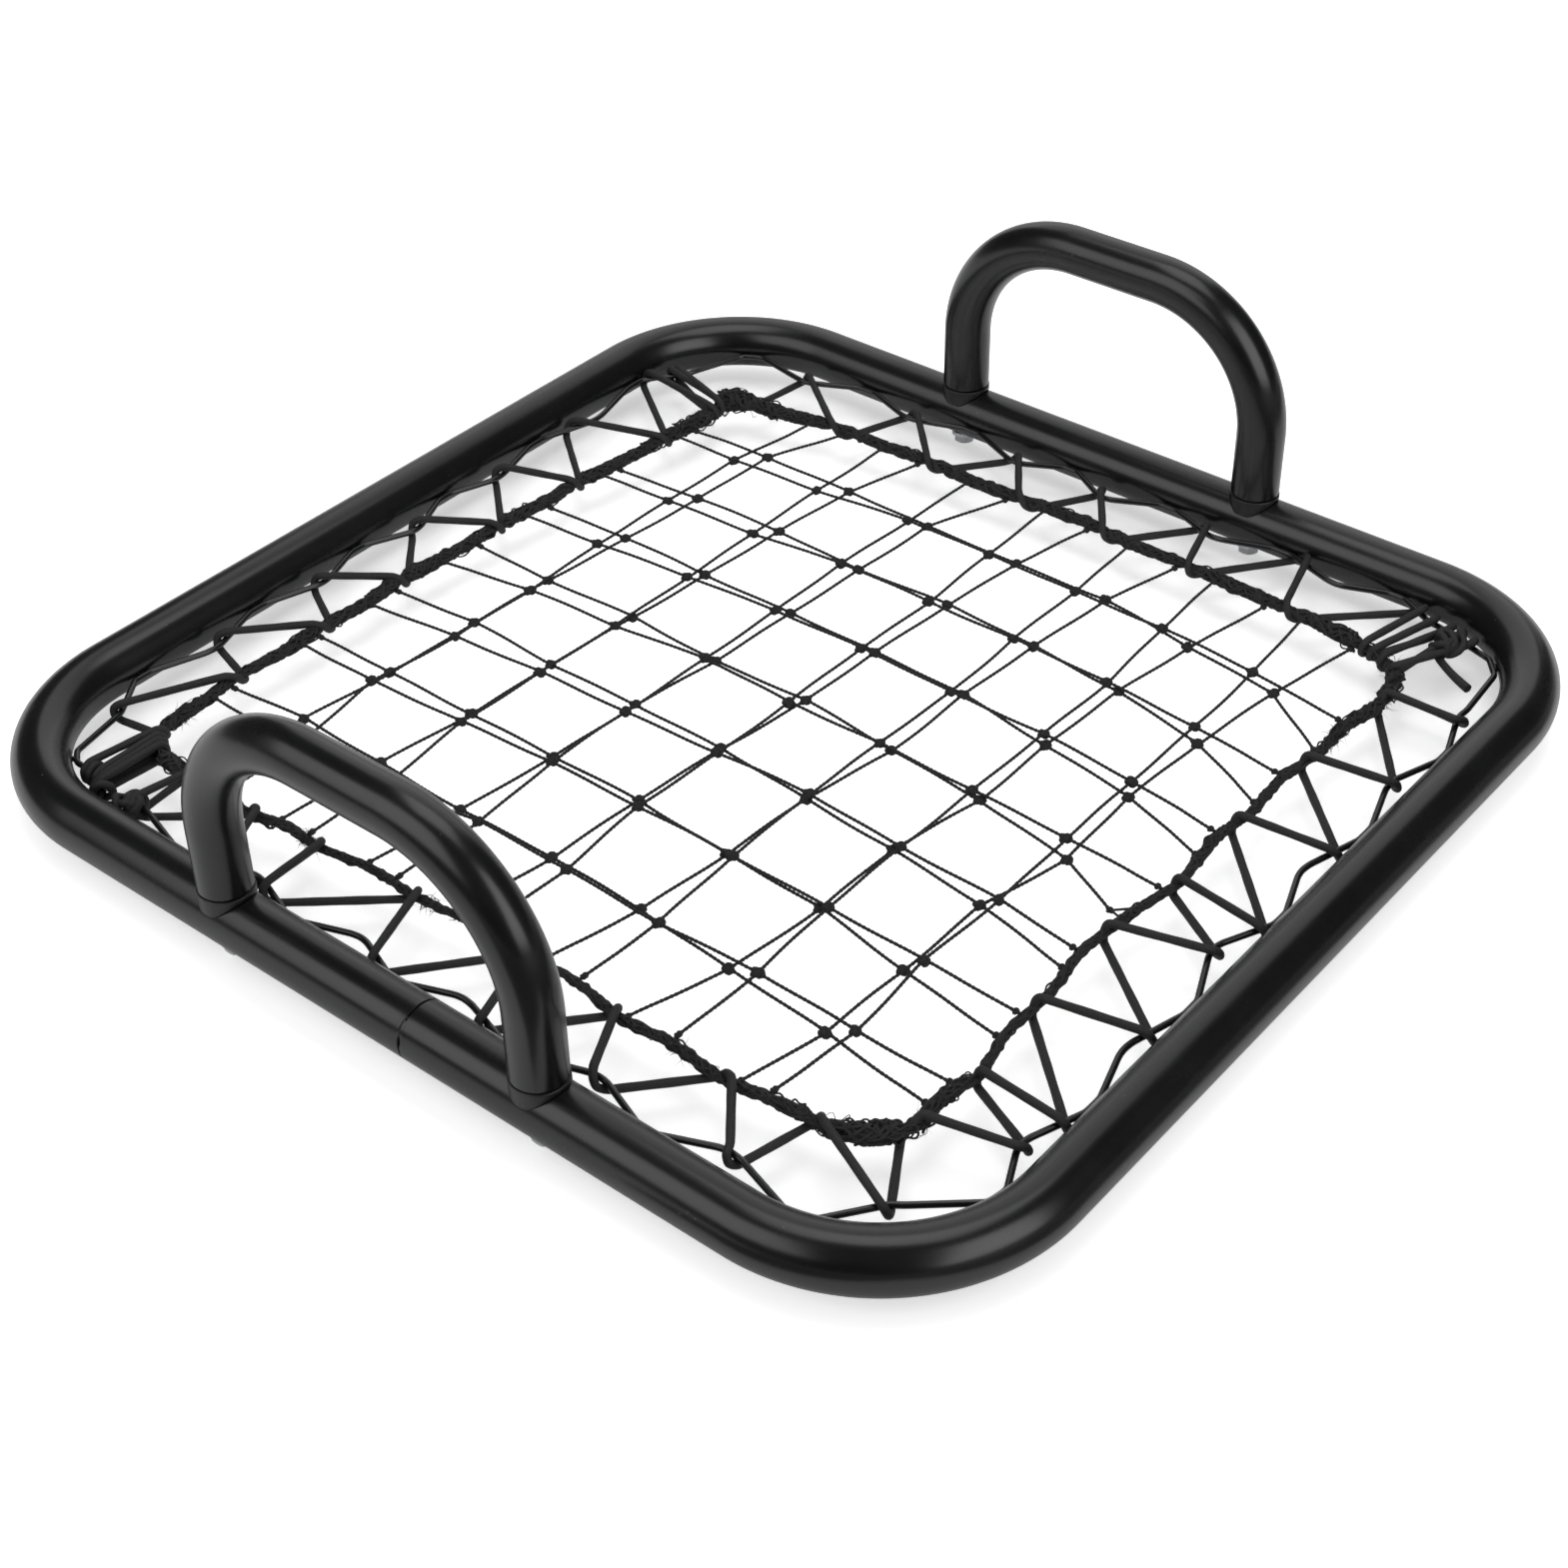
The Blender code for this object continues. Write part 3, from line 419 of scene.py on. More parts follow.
def twine_finish(name, colour, pitch, dark=0.55, pale=1.5, tuft=2600.0):
    """Twisted fibre: thin slanting filaments, with painted shade between them, and dull, uneven dye."""
    f = Finish(name, colour, 0.82)
    split = f.node("SeparateXYZ")
    f.link(f.surface(), split.inputs[0])
    lay = f.maths("ADD", f.maths("MULTIPLY", split.outputs[1], 9.0),
                  f.maths("MULTIPLY", split.outputs[0], 9.0 / pitch))
    ridge = f.maths("ABSOLUTE", f.maths("SUBTRACT", f.maths("FRACT", lay), 0.5))
    filament = f.ramp(ridge, 1.0, 0.0, 0.05, 0.5)
    fluff = f.noise(f.place(), tuft, 3.0, 0.65)
    dye = f.noise(f.place(), 120.0, 3.0)
    shade = f.maths("MULTIPLY", f.ramp(dye, 0.55, 1.0, 0.3, 0.7), f.ramp(fluff, 0.3, 1.0, 0.35, 0.6))
    # The filaments paint shade into the colour: dark between them and pale on them. Dye and fluff vary the
    # tone at random.
    tint = f.blend(f.maths("MULTIPLY", filament, shade), tuple(dark * c for c in colour),
                   tuple(pale * c for c in colour))
    normal = f.bumps(filament, 0.00009, 0.7)
    normal = f.bumps(fluff, 0.00010, 0.7, normal)
    return f.use(tint, f.ramp(fluff, 0.72, 0.94, 0.3, 0.7), normal)


SHEATH = sheath_finish()
TWINE = twine_finish("net twine", (0.0085, 0.0085, 0.0088), 0.0036)
ROPE_FIBRE = twine_finish("rope fibre", (0.0100, 0.0098, 0.0095), 0.0040, 0.30, 3.2, 1100.0)
# The rope's body takes this darker copy of the fibre finish: painted shade under the threads that wind
# over it.
SHADED_ROPE_CORE = twine_finish("shaded rope core", (0.0050, 0.0049, 0.0048), 0.0040, 0.30, 1.8, 1100.0)

# %% Plastic, zinc and bare steel
def plastic_finish():
    """Moulded black plastic: satin, with the fine grain of its mould."""
    f = Finish("collar plastic", (0.0080, 0.0080, 0.0085), 0.40)
    place = f.place()
    grain = f.noise(place, 1900.0, 3.0)
    tint = f.blend(f.noise(place, 90.0, 2.0), (0.0065, 0.0065, 0.0070), (0.0105, 0.0105, 0.0112))
    return f.use(tint, f.ramp(grain, 0.36, 0.50, 0.3, 0.7), f.bumps(grain, 0.00003, 0.5))


def steel_finish(name, colour, roughness):
    """Plain or plated steel: turned marks and a cloudy gloss."""
    f = Finish(name, colour, roughness, 1.0)
    place = f.place()
    cloud = f.noise(place, 240.0, 4.0, 0.6)
    marks = f.noise(f.stretch(place, (300.0, 300.0, 3500.0)), 1.0, 2.0)
    tint = f.blend(cloud, tuple(0.85 * c for c in colour), tuple(1.12 * c for c in colour))
    gloss = f.ramp(cloud, roughness - 0.06, roughness + 0.10, 0.3, 0.7)
    return f.use(tint, gloss, f.bumps(marks, 0.00002, 0.3))


COLLAR_PLASTIC = plastic_finish()
ZINC = steel_finish("zinc plate", (0.62, 0.63, 0.65), 0.28)
BARE_STEEL = steel_finish("bare metal", (0.46, 0.46, 0.47), 0.42)
for name in ["joint_sleeve"] + ["plug_" + leg for leg in LEGS]:
    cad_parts[name].data.materials.clear()
    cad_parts[name].data.materials.append(BARE_STEEL)
print("finishes:", [m.name for m in bpy.data.materials])

# %% [markdown]
# ## The way round the frame
#
# The tube's centre line is four straights and four quarter circles. A point on it is found from
# its share of the way round, and everything laced inside the frame is placed from there: so far
# round, so far in. Working with arrays lets one call place a whole rope.

# %% The way round
def ring_plan(share, inset=0.0):
    """Plan points at shares of the way round, starting in the middle of the front side and going
    anticlockwise, moved in from the tube's centre line."""
    share = np.atleast_1d(np.asarray(share, float)) % 1.0
    inset = np.broadcast_to(inset, share.shape)
    half_w, half_d, arc = FRAME_W / 2 - CORNER_R, FRAME_D / 2 - CORNER_R, CORNER_R * math.pi / 2
    centres = np.array([(half_w, -half_d), (half_w, half_d), (-half_w, half_d), (-half_w, -half_d)])
    ends = np.cumsum([half_w, arc, 2 * half_d, arc, 2 * half_w, arc, 2 * half_d, arc, half_w])
    starts = np.concatenate(([0.0], ends[:-1]))
    run = share * RING
    span = np.clip(np.searchsorted(ends, run, side="left"), 0, 8)
    into = run - starts[span]
    quarter = (span + 1) // 2
    bent = span % 2 == 1
    turn = np.where(bent, quarter - 1 + into / arc, quarter % 4) * math.pi / 2
    inward = np.stack((-np.sin(turn), np.cos(turn)), axis=-1)
    heading = np.stack((np.cos(turn), np.sin(turn)), axis=-1)
    on_arc = centres[(quarter - 1) % 4] - inward * CORNER_R
    base = np.where((span == 0)[:, None], np.array([(0.0, -FRAME_D / 2)]), on_arc)
    point = np.where(bent[:, None], on_arc, base + heading * into[:, None])
    return point + inward * inset[:, None], inward


def spot_at(share, inset, height):
    """One point in space: so far round, so far in, so high."""
    return np.append(ring_plan(share, inset)[0][0], height)


class Way:
    """A closed line in plan, given by shares of the way round and distances in from the tube."""

    def __init__(self, shares, insets):
        order = np.argsort(np.asarray(shares) % 1.0)
        self.shares = (np.asarray(shares) % 1.0)[order]
        self.points = ring_plan(self.shares, np.asarray(insets)[order])[0]

    def at(self, share):
        """Points on the line, at one share or at many."""
        x, y = (np.interp(share, self.shares, column, period=1.0) for column in self.points.T)
        return np.stack((x, y), axis=-1)

    def inward(self, share, reach=0.0006):
        """Directions square to the line, into the bed."""
        ahead = self.at(share + reach) - self.at(share - reach)
        aside = np.stack((-ahead[..., 1], ahead[..., 0]), axis=-1)
        return aside / np.linalg.norm(aside, axis=-1, keepdims=True)

    def line(self, height):
        """The line's corner points at one height."""
        return np.column_stack((self.points, np.full(len(self.points), height)))


print("middles of the sides:", np.round(ring_plan([0.0, 0.25, 0.5, 0.75])[0] * 1000, 1).tolist())

# %% [markdown]
# ## The frame tube
#
# One length of tube is bent to four equal corners, and its ends meet on the front side. There the
# joint shows as a slit, bridged on the upper outside by a short weld that was ground flush. On the
# surface the slit is a narrow groove in the tube's radius, the weld is where the groove stops, and
# a tenth of a millimetre of mismatch between the ends makes the small step in the reflection.

# %% Frame tube
SLIT_HALF, SLIT_DEPTH = 0.0004, 0.0013
WELD_FROM, WELD_TO = math.radians(28), math.radians(68)
WELD_PROUD, MISMATCH = 0.00012, 0.00005
SKIN, GRIP_SKIN = 0.00006, 0.00005


def tube_radius(along, angle):
    """Tube radius, angle 0 on top and 90 degrees outside: groove, weld and mismatch at the joint."""
    off = along - SEAM_X
    weld = np.clip((angle - WELD_FROM) / 0.05, 0, 1) * np.clip((WELD_TO - angle) / 0.05, 0, 1)
    half = SLIT_HALF * (1 + 1.1 * np.exp(-((angle - WELD_TO - 0.12) / 0.12) ** 2))
    slit = np.clip((1.3 * half - np.abs(off)) / (0.5 * half), 0, 1) * (1 - weld)
    ripples = 1 + 0.5 * np.sin(off * 2600 + 3 * angle)
    bead = WELD_PROUD * weld * np.exp(-(off / 0.0022) ** 2) * ripples
    step = MISMATCH * np.tanh(off / 0.0005) * np.exp(-(off / 0.012) ** 2) * np.cos(angle - 0.9)
    return TUBE_R - SKIN - SLIT_DEPTH * slit + bead + step


near_joint = np.concatenate((np.linspace(-0.012, 0.012, 41), np.linspace(-0.0012, 0.0012, 25)))
near_joint = (SEAM_X + near_joint) / RING
tube_shares = np.unique(np.concatenate((np.linspace(0, 1, 640, endpoint=False), near_joint)))
tube_line = np.column_stack((ring_plan(tube_shares)[0], np.full(len(tube_shares), TUBE_Z)))
make_piece("frame_tube_skin", [closed_tube(tube_line, tube_radius, 72)], POWDER_COAT, "frame",
           ("frame_tube",))

# %% [markdown]
# ## The grip handles
#
# A handle is a slimmer tube with two upright legs and two bends of 67 mm. The cut ends of the legs
# are slightly rounded, and a hair's breadth of air stays between them and the collars, which gives
# the thin dark line at the foot of each leg.

# %% Handles
def handle_line(middle, side_y):
    """Centre line of a handle: up one leg, round a bend, across, round the other, down."""
    rise = HANDLE_TOP - HANDLE_BEND_R
    foot = LEG_FOOT_Z + np.array((0, 0.0001, 0.0002, 0.0004, 0.0007, 0.0012, 0.004))
    leg = np.concatenate((foot, np.linspace(0.045, rise, 8)[:-1]))
    turn = np.linspace(0, math.pi / 2, 45)
    left = middle - LEG_SPACING / 2
    inner = left + HANDLE_BEND_R
    x = np.concatenate((np.full(len(leg), left), inner - HANDLE_BEND_R * np.cos(turn)))
    z = np.concatenate((leg, rise + HANDLE_BEND_R * np.sin(turn)))
    cross = np.linspace(x[-1], middle, 5)[1:]
    x, z = np.append(x, cross), np.append(z, np.full(len(cross), HANDLE_TOP))
    x, z = np.append(x, 2 * middle - x[-2::-1]), np.append(z, z[-2::-1])
    return np.column_stack((x, np.full(len(x), side_y), z))


def leg_end(total, edge=0.0006):
    """Handle tube radius with the sharp edge taken off both ends."""
    def radius(along, angle):
        short = np.clip(edge - np.minimum(along, total - along), 0, edge)
        return HANDLE_R - GRIP_SKIN - edge + np.sqrt(edge ** 2 - short ** 2) + 0 * angle
    return radius


for name, side_y in (("front", -FRAME_D / 2), ("back", FRAME_D / 2)):
    line = handle_line(HANDLE_X[name], side_y)
    total = run_along(line)[-1]
    grid = ring_grid(line, side_frames(line, (0, 1, 0)), leg_end(total), 64)
    make_piece("grip_" + name, [grid], POWDER_COAT, "frame", ("handle_" + name,))
    print(f"{name} handle: {1000 * total:.0f} mm of tube")

# %% [markdown]
# ## What holds a leg
#
# Each leg stands in a moulded collar whose underside is hollowed to sit on the tube, and a bolt
# comes up from below through a hollowed washer. Collar and washer are the same shape, one upside
# down: a ring with one flat face, whose other face follows the round tube and stops at a flat rim.
# The object stands on the bolt heads, so these get the chamfer of a real hexagon head.

# %% Collars, washers and bolts
HOLE_R = 0.0033
COLLAR = dict(inner=HOLE_R, outer=0.0128, rim=0.0075, top=COLLAR_TOP_Z - TUBE_Z, edge=0.0006)
WASHER = dict(inner=HOLE_R, outer=0.0070, rim=0.0129, top=0.0153, edge=0.0002)
HEAD_H, HEAD_HALF, SHANK_R, SHANK_TOP = 0.004, 0.005, 0.003, 0.052


def saddle_ring(place, inner, outer, rim, top, edge, below=False):
    """Ring that sits on the tube. For each direction round, the hollow face is the higher of the
    tube's circle and the rim; small quarter circles round the two outer edges."""
    round_ = np.linspace(0, 2 * math.pi, 96, endpoint=False)[None, :]
    seat = TUBE_R + FIT
    face = np.linspace(inner, outer - edge, 10)[:, None] + 0 * round_
    under = np.maximum(rim, np.sqrt(seat ** 2 - np.minimum(face * np.sin(round_), seat) ** 2))
    corner = np.linspace(0, math.pi / 2, 6)[1:, None] + 0 * round_
    foot = np.maximum(rim, np.sqrt(np.maximum(seat ** 2 - (outer * np.sin(round_)) ** 2, 0)))
    radii = [face, outer - edge * (1 - np.sin(corner)), outer - edge * (1 - np.sin(corner[::-1])),
             np.full((1, 96), outer - edge), np.full((1, 96), inner)]
    heights = [under, foot + edge * (1 - np.cos(corner)), top - edge * (1 - np.cos(corner[::-1])),
               np.full((1, 96), top), np.full((1, 96), top)]
    radius, height = np.concatenate(radii), np.concatenate(heights)
    x, y = place[0] + radius * np.cos(round_), place[1] + radius * np.sin(round_)
    points = np.stack((x, y, TUBE_Z + (-height if below else height)), axis=-1)
    if below:
        points = points[::-1]
    return {"points": points, "along": 0.002 * np.arange(len(points)), "closed": True}


def bolt_grid(place):
    """Hexagon head with a chamfered face, then the plain shank. The radius is the smaller of the
    hexagon's and the chamfer cone's."""
    heights = np.array((0, 0.0001, 0.0002, 0.0004, 0.0008, 0.0036, 0.0038, HEAD_H,
                        HEAD_H, SHANK_TOP - 0.0005, SHANK_TOP))
    angle = np.linspace(0, 2 * math.pi, 72, endpoint=False)[None, :]
    hexagon = HEAD_HALF / np.cos(angle % (math.pi / 3) - math.pi / 6)
    from_face = np.minimum(heights, 2 * np.maximum(HEAD_H - heights, 0) + 0.0002)[:, None]
    radius = np.minimum(hexagon, 0.96 * HEAD_HALF + 1.9 * from_face)
    radius[8:] = SHANK_R
    radius[10] = SHANK_R - 0.0005
    points = np.stack((place[0] + radius * np.cos(angle), place[1] + radius * np.sin(angle),
                       np.broadcast_to(heights[:, None], radius.shape)), axis=-1)
    return {"points": points, "along": heights, "closed": False}


for leg, place in LEGS.items():
    make_piece("leg_collar_" + leg, [saddle_ring(place, **COLLAR)], COLLAR_PLASTIC, "frame",
               ("collar_" + leg,))
    make_piece("hollowed_washer_" + leg, [saddle_ring(place, **WASHER, below=True)], ZINC, "frame",
               ("washer_" + leg,))
    make_piece("leg_bolt_" + leg, [bolt_grid(place)], ZINC, "frame", ("bolt_" + leg,))

# %% [markdown]
# ## The lacing wire
#
# A wavy wire runs round inside the tube. Its feet are welded to the tube and its rounded teeth
# stand in towards the net, where the cord hooks round them. Only the teeth are listed: how far
# round, and how far in. A foot lies halfway between two teeth, except at two corners, where it is
# set aside. Five points make a tooth, and rounding the corners off makes it a bent wire with
# straight flanks. A skin of coating makes it a little thicker, and a small bead of weld sits at
# every foot.

# %% Lacing wire
WIRE_TEETH = (
    (0.011, 0.025), (0.048, 0.026), (0.081, 0.027), (0.125, 0.029),
    (0.167, 0.026), (0.201, 0.024), (0.237, 0.028), (0.270, 0.025), (0.308, 0.025), (0.340, 0.0245),
    (0.397, 0.025), (0.426, 0.025), (0.461, 0.026), (0.493, 0.029), (0.521, 0.028), (0.557, 0.026),
    (0.592, 0.030), (0.642, 0.028), (0.683, 0.025), (0.721, 0.025), (0.752, 0.027), (0.783, 0.025),
    (0.819, 0.026), (0.855, 0.028), (0.893, 0.025), (0.9105, 0.025), (0.949, 0.025), (0.981, 0.025),
)
TOOTH_SHAPE = ((-0.86, 0.03), (-0.14, 0.93), (0.0, 1.0), (0.14, 0.93), (0.86, 0.03))
SIDELONG_FEET = {3: 0.1530, 23: 0.8785}
WIRE_SKIN = 0.00018
WIRE_FOOT = math.sqrt((TUBE_R + WIRE_R + FIT) ** 2 - (TUBE_Z - BED_Z) ** 2)
BEAD_HALF, BEAD_UNEVEN, BEAD_R = 0.0024, 0.0008, 0.0015
tips = np.array(WIRE_TEETH)
foot_shares = (tips[:, 0] + np.roll(tips[:, 0], -1)) / 2
foot_shares[-1] += 0.5
for tooth, share in SIDELONG_FEET.items():
    foot_shares[tooth] = share


def wire_way():
    """The wire's corner points, five to a tooth."""
    before = tips[:, 0] - np.roll(foot_shares, 1)
    before[0] += 1.0
    after = foot_shares - tips[:, 0]
    shares, insets = [], []
    for along, rise in TOOTH_SHAPE:
        shares.append(tips[:, 0] + along * (after if along > 0 else before))
        insets.append(WIRE_FOOT + rise * (tips[:, 1] - WIRE_FOOT))
    return Way(np.concatenate(shares), np.concatenate(insets))


wire = wire_way()
wire_line = rounded_path(wire.line(BED_Z), 0.0011, 0.0012, closed=True)
wire_grid = closed_tube(wire_line, WIRE_R + WIRE_SKIN, 12)
beads = []
for k, share in enumerate(foot_shares):
    middle, inward = ring_plan(share, WIRE_FOOT - 0.0007)
    ahead = np.array((inward[0, 1], -inward[0, 0], 0.0))
    half = BEAD_HALF + BEAD_UNEVEN * math.sin(5.1 * k)
    t = np.linspace(-1, 1, 9)
    line = np.append(middle[0], BED_Z - 0.0002) + t[:, None] * ahead * half
    plump = BEAD_R * np.sqrt(1.0001 - t ** 2)[:, None]
    beads.append(ring_grid(line, side_frames(line, (0, 0, 1)), plump, 10))
make_piece("lacing_wire_bent", [wire_grid, *beads], WIRE_COAT, "frame", ("lacing_wire",))

# %% [markdown]
# ## Round the wire and round the rope
#
# The elastic goes over and under: round a tooth of the wire, across, round the net's border rope,
# and back. Each stop is listed as the piece it goes round, where it comes and leaves, and how many
# half turns it makes. From that list the cord's whole way can be worked out. The stops in the lashed
# corners were listed one by one. The others weren't quite: a scratch program slid the first readings
# along until the strands lay on the photograph's dark lines.

# %% Routes of rope and cords
ROPE_ROUTE = (
    (0.006, 0.060), (0.025, 0.062), (0.040, 0.056), (0.052, 0.059), (0.067, 0.055), (0.081, 0.060),
    (0.092, 0.060), (0.103, 0.065), (0.114, 0.066), (0.124, 0.067), (0.135, 0.066), (0.146, 0.065),
    (0.158, 0.063), (0.167, 0.066), (0.177, 0.060), (0.190, 0.067), (0.205, 0.066), (0.220, 0.071),
    (0.235, 0.068), (0.251, 0.062), (0.269, 0.067), (0.280, 0.063), (0.295, 0.066), (0.307, 0.062),
    (0.320, 0.063), (0.333, 0.058), (0.345, 0.061), (0.355, 0.062), (0.365, 0.063), (0.375, 0.065),
    (0.386, 0.066), (0.398, 0.065), (0.410, 0.063), (0.425, 0.059), (0.441, 0.058), (0.460, 0.056),
    (0.475, 0.057), (0.487, 0.054), (0.504, 0.055), (0.524, 0.058), (0.538, 0.055), (0.554, 0.058),
    (0.570, 0.057), (0.583, 0.064), (0.596, 0.067), (0.608, 0.066), (0.619, 0.064), (0.630, 0.065),
    (0.641, 0.067), (0.652, 0.070), (0.664, 0.071), (0.680, 0.069), (0.696, 0.066), (0.712, 0.061),
    (0.721, 0.062), (0.735, 0.058), (0.752, 0.058), (0.771, 0.054), (0.785, 0.056), (0.797, 0.053),
    (0.808, 0.055), (0.823, 0.052), (0.836, 0.055), (0.849, 0.055), (0.860, 0.053), (0.870, 0.053),
    (0.881, 0.054), (0.892, 0.054), (0.907, 0.054), (0.919, 0.056), (0.930, 0.052), (0.941, 0.057),
    (0.952, 0.055), (0.966, 0.060), (0.981, 0.058), (0.993, 0.061),
)
REAR_LACING = (
    ("rope", 0.3675, 0.3610, 1), ("wire", 0.3790, 0.3845, 1), ("rope", 0.3805, 0.3820, 1),
    ("wire", 0.3885, 0.3930, 1), ("rope", 0.4010, 0.3955, 1), ("wire", 0.3950, 0.4000, 1),
    ("rope", 0.4045, 0.4035, 1), ("wire", 0.4010, 0.4060, 1), ("rope", 0.4273, 0.4301, 1),
    ("wire", 0.4355, 0.4415, 1), ("rope", 0.4571, 0.4585, 1), ("wire", 0.4630, 0.4680, 1),
    ("rope", 0.4816, 0.4849, 1), ("wire", 0.4940, 0.4970, 1), ("rope", 0.5060, 0.5103, 1),
    ("wire", 0.5201, 0.5251, 1), ("rope", 0.5368, 0.5401, 1), ("wire", 0.5543, 0.5603, 1),
    ("rope", 0.5661, 0.5719, 1), ("wire", 0.5900, 0.5945, 1), ("rope", 0.5960, 0.6425, 3),
    ("wire", 0.6492, 0.6492, 1), ("rope", 0.6545, 0.6505, 1), ("wire", 0.6468, 0.6468, 1),
    ("rope", 0.6565, 0.6585, 1), ("wire", 0.6565, 0.6590, 1), ("rope", 0.6779, 0.6818, 1),
    ("wire", 0.6890, 0.6925, 1), ("rope", 0.7087, 0.7126, 1), ("wire", 0.7184, 0.7219, 1),
    ("rope", 0.7366, 0.7400, 1), ("wire", 0.7500, 0.7535, 1), ("rope", 0.7688, 0.7727, 1),
    ("wire", 0.7834, 0.7859, 1), ("rope", 0.7937, 0.7991, 1), ("wire", 0.8145, 0.8170, 1),
    ("rope", 0.8210, 0.8265, 1), ("wire", 0.8533, 0.8548, 1), ("rope", 0.8605, 0.8680, 1),
    ("wire", 0.8862, 0.8890, 3), ("rope", 0.8735, 0.8735, 1), ("wire", 0.8908, 0.8908, 1),
    ("rope", 0.8790, 0.8790, 1), ("wire", 0.8932, 0.8932, 1), ("rope", 0.8845, 0.8845, 1),
    ("wire", 0.8956, 0.8984, 3),
)
FRONT_LACING = (
    ("rope", 0.3450, 0.3435, 1), ("wire", 0.3405, 0.3355, 1), ("rope", 0.3360, 0.3320, 1),
    ("wire", 0.3100, 0.3060, 1), ("rope", 0.3035, 0.3022, 1), ("wire", 0.2810, 0.2775, 1),
    ("rope", 0.2757, 0.2738, 1), ("wire", 0.2495, 0.2470, 1), ("rope", 0.2498, 0.2484, 1),
    ("wire", 0.2381, 0.2341, 1), ("rope", 0.2283, 0.2269, 1), ("wire", 0.2085, 0.2055, 1),
    ("rope", 0.2009, 0.1990, 1), ("wire", 0.1775, 0.1755, 1), ("rope", 0.1769, 0.1761, 1),
    ("wire", 0.1685, 0.1645, 1), ("rope", 0.1595, 0.1430, 1), ("wire", 0.1253, 0.1218, 1),
    ("rope", 0.0903, 0.0870, 1), ("wire", 0.0830, 0.0810, 1), ("rope", 0.0695, 0.0635, 1),
    ("wire", 0.0500, 0.0465, 1), ("rope", 0.0390, 0.0360, 1), ("wire", 0.0200, 0.0190, 1),
    ("rope", 0.0127, 0.0082, 1), ("wire", -0.0090, -0.0120, 1), ("rope", -0.0185, -0.0220, 1),
    ("wire", -0.0435, -0.0460, 1), ("rope", -0.0467, -0.0505, 1), ("wire", -0.0500, -0.0590, 1),
    ("rope", -0.0665, -0.0715, 1), ("wire", -0.0880, -0.0912, 1), ("rope", -0.0885, -0.0920, 1),
    ("wire", -0.0908, -0.0945, 3),
)
STOPPER_AT, STOPPER_LIFT, STOPPER_TURNS = (0.3802, 0.0330), 0.0044, 2.5
TAIL_END_AT, TAIL_BEND_AT, TAIL_LIFT = (0.3548, 0.0282), (0.3655, 0.0388), 0.0008
TUCK_AT, TUCK_DEPTH = (0.8990, 0.0340), 0.0105
END_KNOT_AT, END_KNOT_LIFT = (0.9088, 0.0234), 0.0008
FIST, END_KNOT = (0.0046, 0.0034, 0.0020), (0.0036, 0.0030, 0.0020)
SQUEEZED_R = 0.0014
WRAP_BULGE, SUNK_BULGE, SUNK_WRAPS = 0.7, 0.2, (0.14, 0.34)
BURIED_R = 0.0017
rope = Way(*zip(*ROPE_ROUTE))


def half_turns(stop, level):
    """Points of the cord at one stop: half turns round the wire or the rope, each in three steps.
    The rope is soft, so a turn bites into it, and a long run is buried in it."""
    piece, come, leave, halves = stop
    way, wrapped, bulge = (wire, WIRE_R, -1) if piece == "wire" else (rope, SQUEEZED_R, WRAP_BULGE)
    radius = (wrapped + halves * FIT + LACE_R) / math.cos(math.pi / 6)
    if piece == "rope" and SUNK_WRAPS[0] < come < SUNK_WRAPS[1]:
        bulge = SUNK_BULGE
    if piece == "rope" and halves > 1:
        radius = BURIED_R
    k = np.arange(3 * halves + 1)
    share = come + (leave - come) * k / (3 * halves)
    angle = level * (math.pi / 2 - math.pi * k / 3)
    plan = way.at(share) + bulge * way.inward(share) * (radius * np.cos(angle))[:, None]
    return np.column_stack((plan, BED_Z + radius * np.sin(angle)))


def stopper_points():
    """Cut tail and barrel knot in which the rear cord starts: a coil round the cord's first run."""
    centre = ring_plan(*STOPPER_AT)[0][0]
    height = BED_Z + STOPPER_LIFT
    ahead = rope.at(REAR_LACING[0][1]) - centre
    ahead = ahead / np.linalg.norm(ahead)
    aside = np.array((ahead[1], -ahead[0]))
    radius = (2 * LACE_R + 2 * FIT) / math.cos(math.pi / 8)
    pitch = 2 * LACE_R + 3 * FIT
    half = STOPPER_TURNS * pitch / 2
    front = centre + ahead * half
    k = np.arange(round(8 * STOPPER_TURNS) + 1)
    angle = -math.pi / 2 - 2 * math.pi * k / 8
    coil = front - np.outer(pitch * k / 8, ahead) + np.outer(radius * np.cos(angle), aside)
    coil = np.column_stack((coil, height + radius * np.sin(angle)))
    end, bend = (spot_at(*spot, BED_Z + TAIL_LIFT) for spot in (TAIL_END_AT, TAIL_BEND_AT))
    t = np.linspace(0, 1, 12, endpoint=False)[:, None]
    tail = (1 - t) ** 2 * end + 2 * t * (1 - t) * bend + t ** 2 * coil[0]
    turn = np.linspace(math.pi / 4, math.pi, 4)
    back = centre - ahead * half - np.outer(0.65 * radius * np.sin(turn), ahead)
    lean = math.sin(-math.pi / 2 - 2 * math.pi * STOPPER_TURNS)
    back = np.column_stack((back, height + lean * radius * (1 + np.cos(turn)) / 2))
    return np.concatenate((tail, coil, back, [(*(front + ahead * LACE_R), height)]))


# %% [markdown]
# ## Lacing cord
#
# When the bed is pushed in, the cord's turns round the rope go with it, the turns round the wire
# stay, and the runs between them stretch. A stretch of cord can follow that if one straight band
# separates its wire turns from its rope turns. So each cord is cut into such stretches, always in
# the middle of a turn round the wire, where nothing moves and the cut can't be seen.

# %% Lacing cords
CORD_SPACING, CORD_SOFT = 0.0009, 0.0011


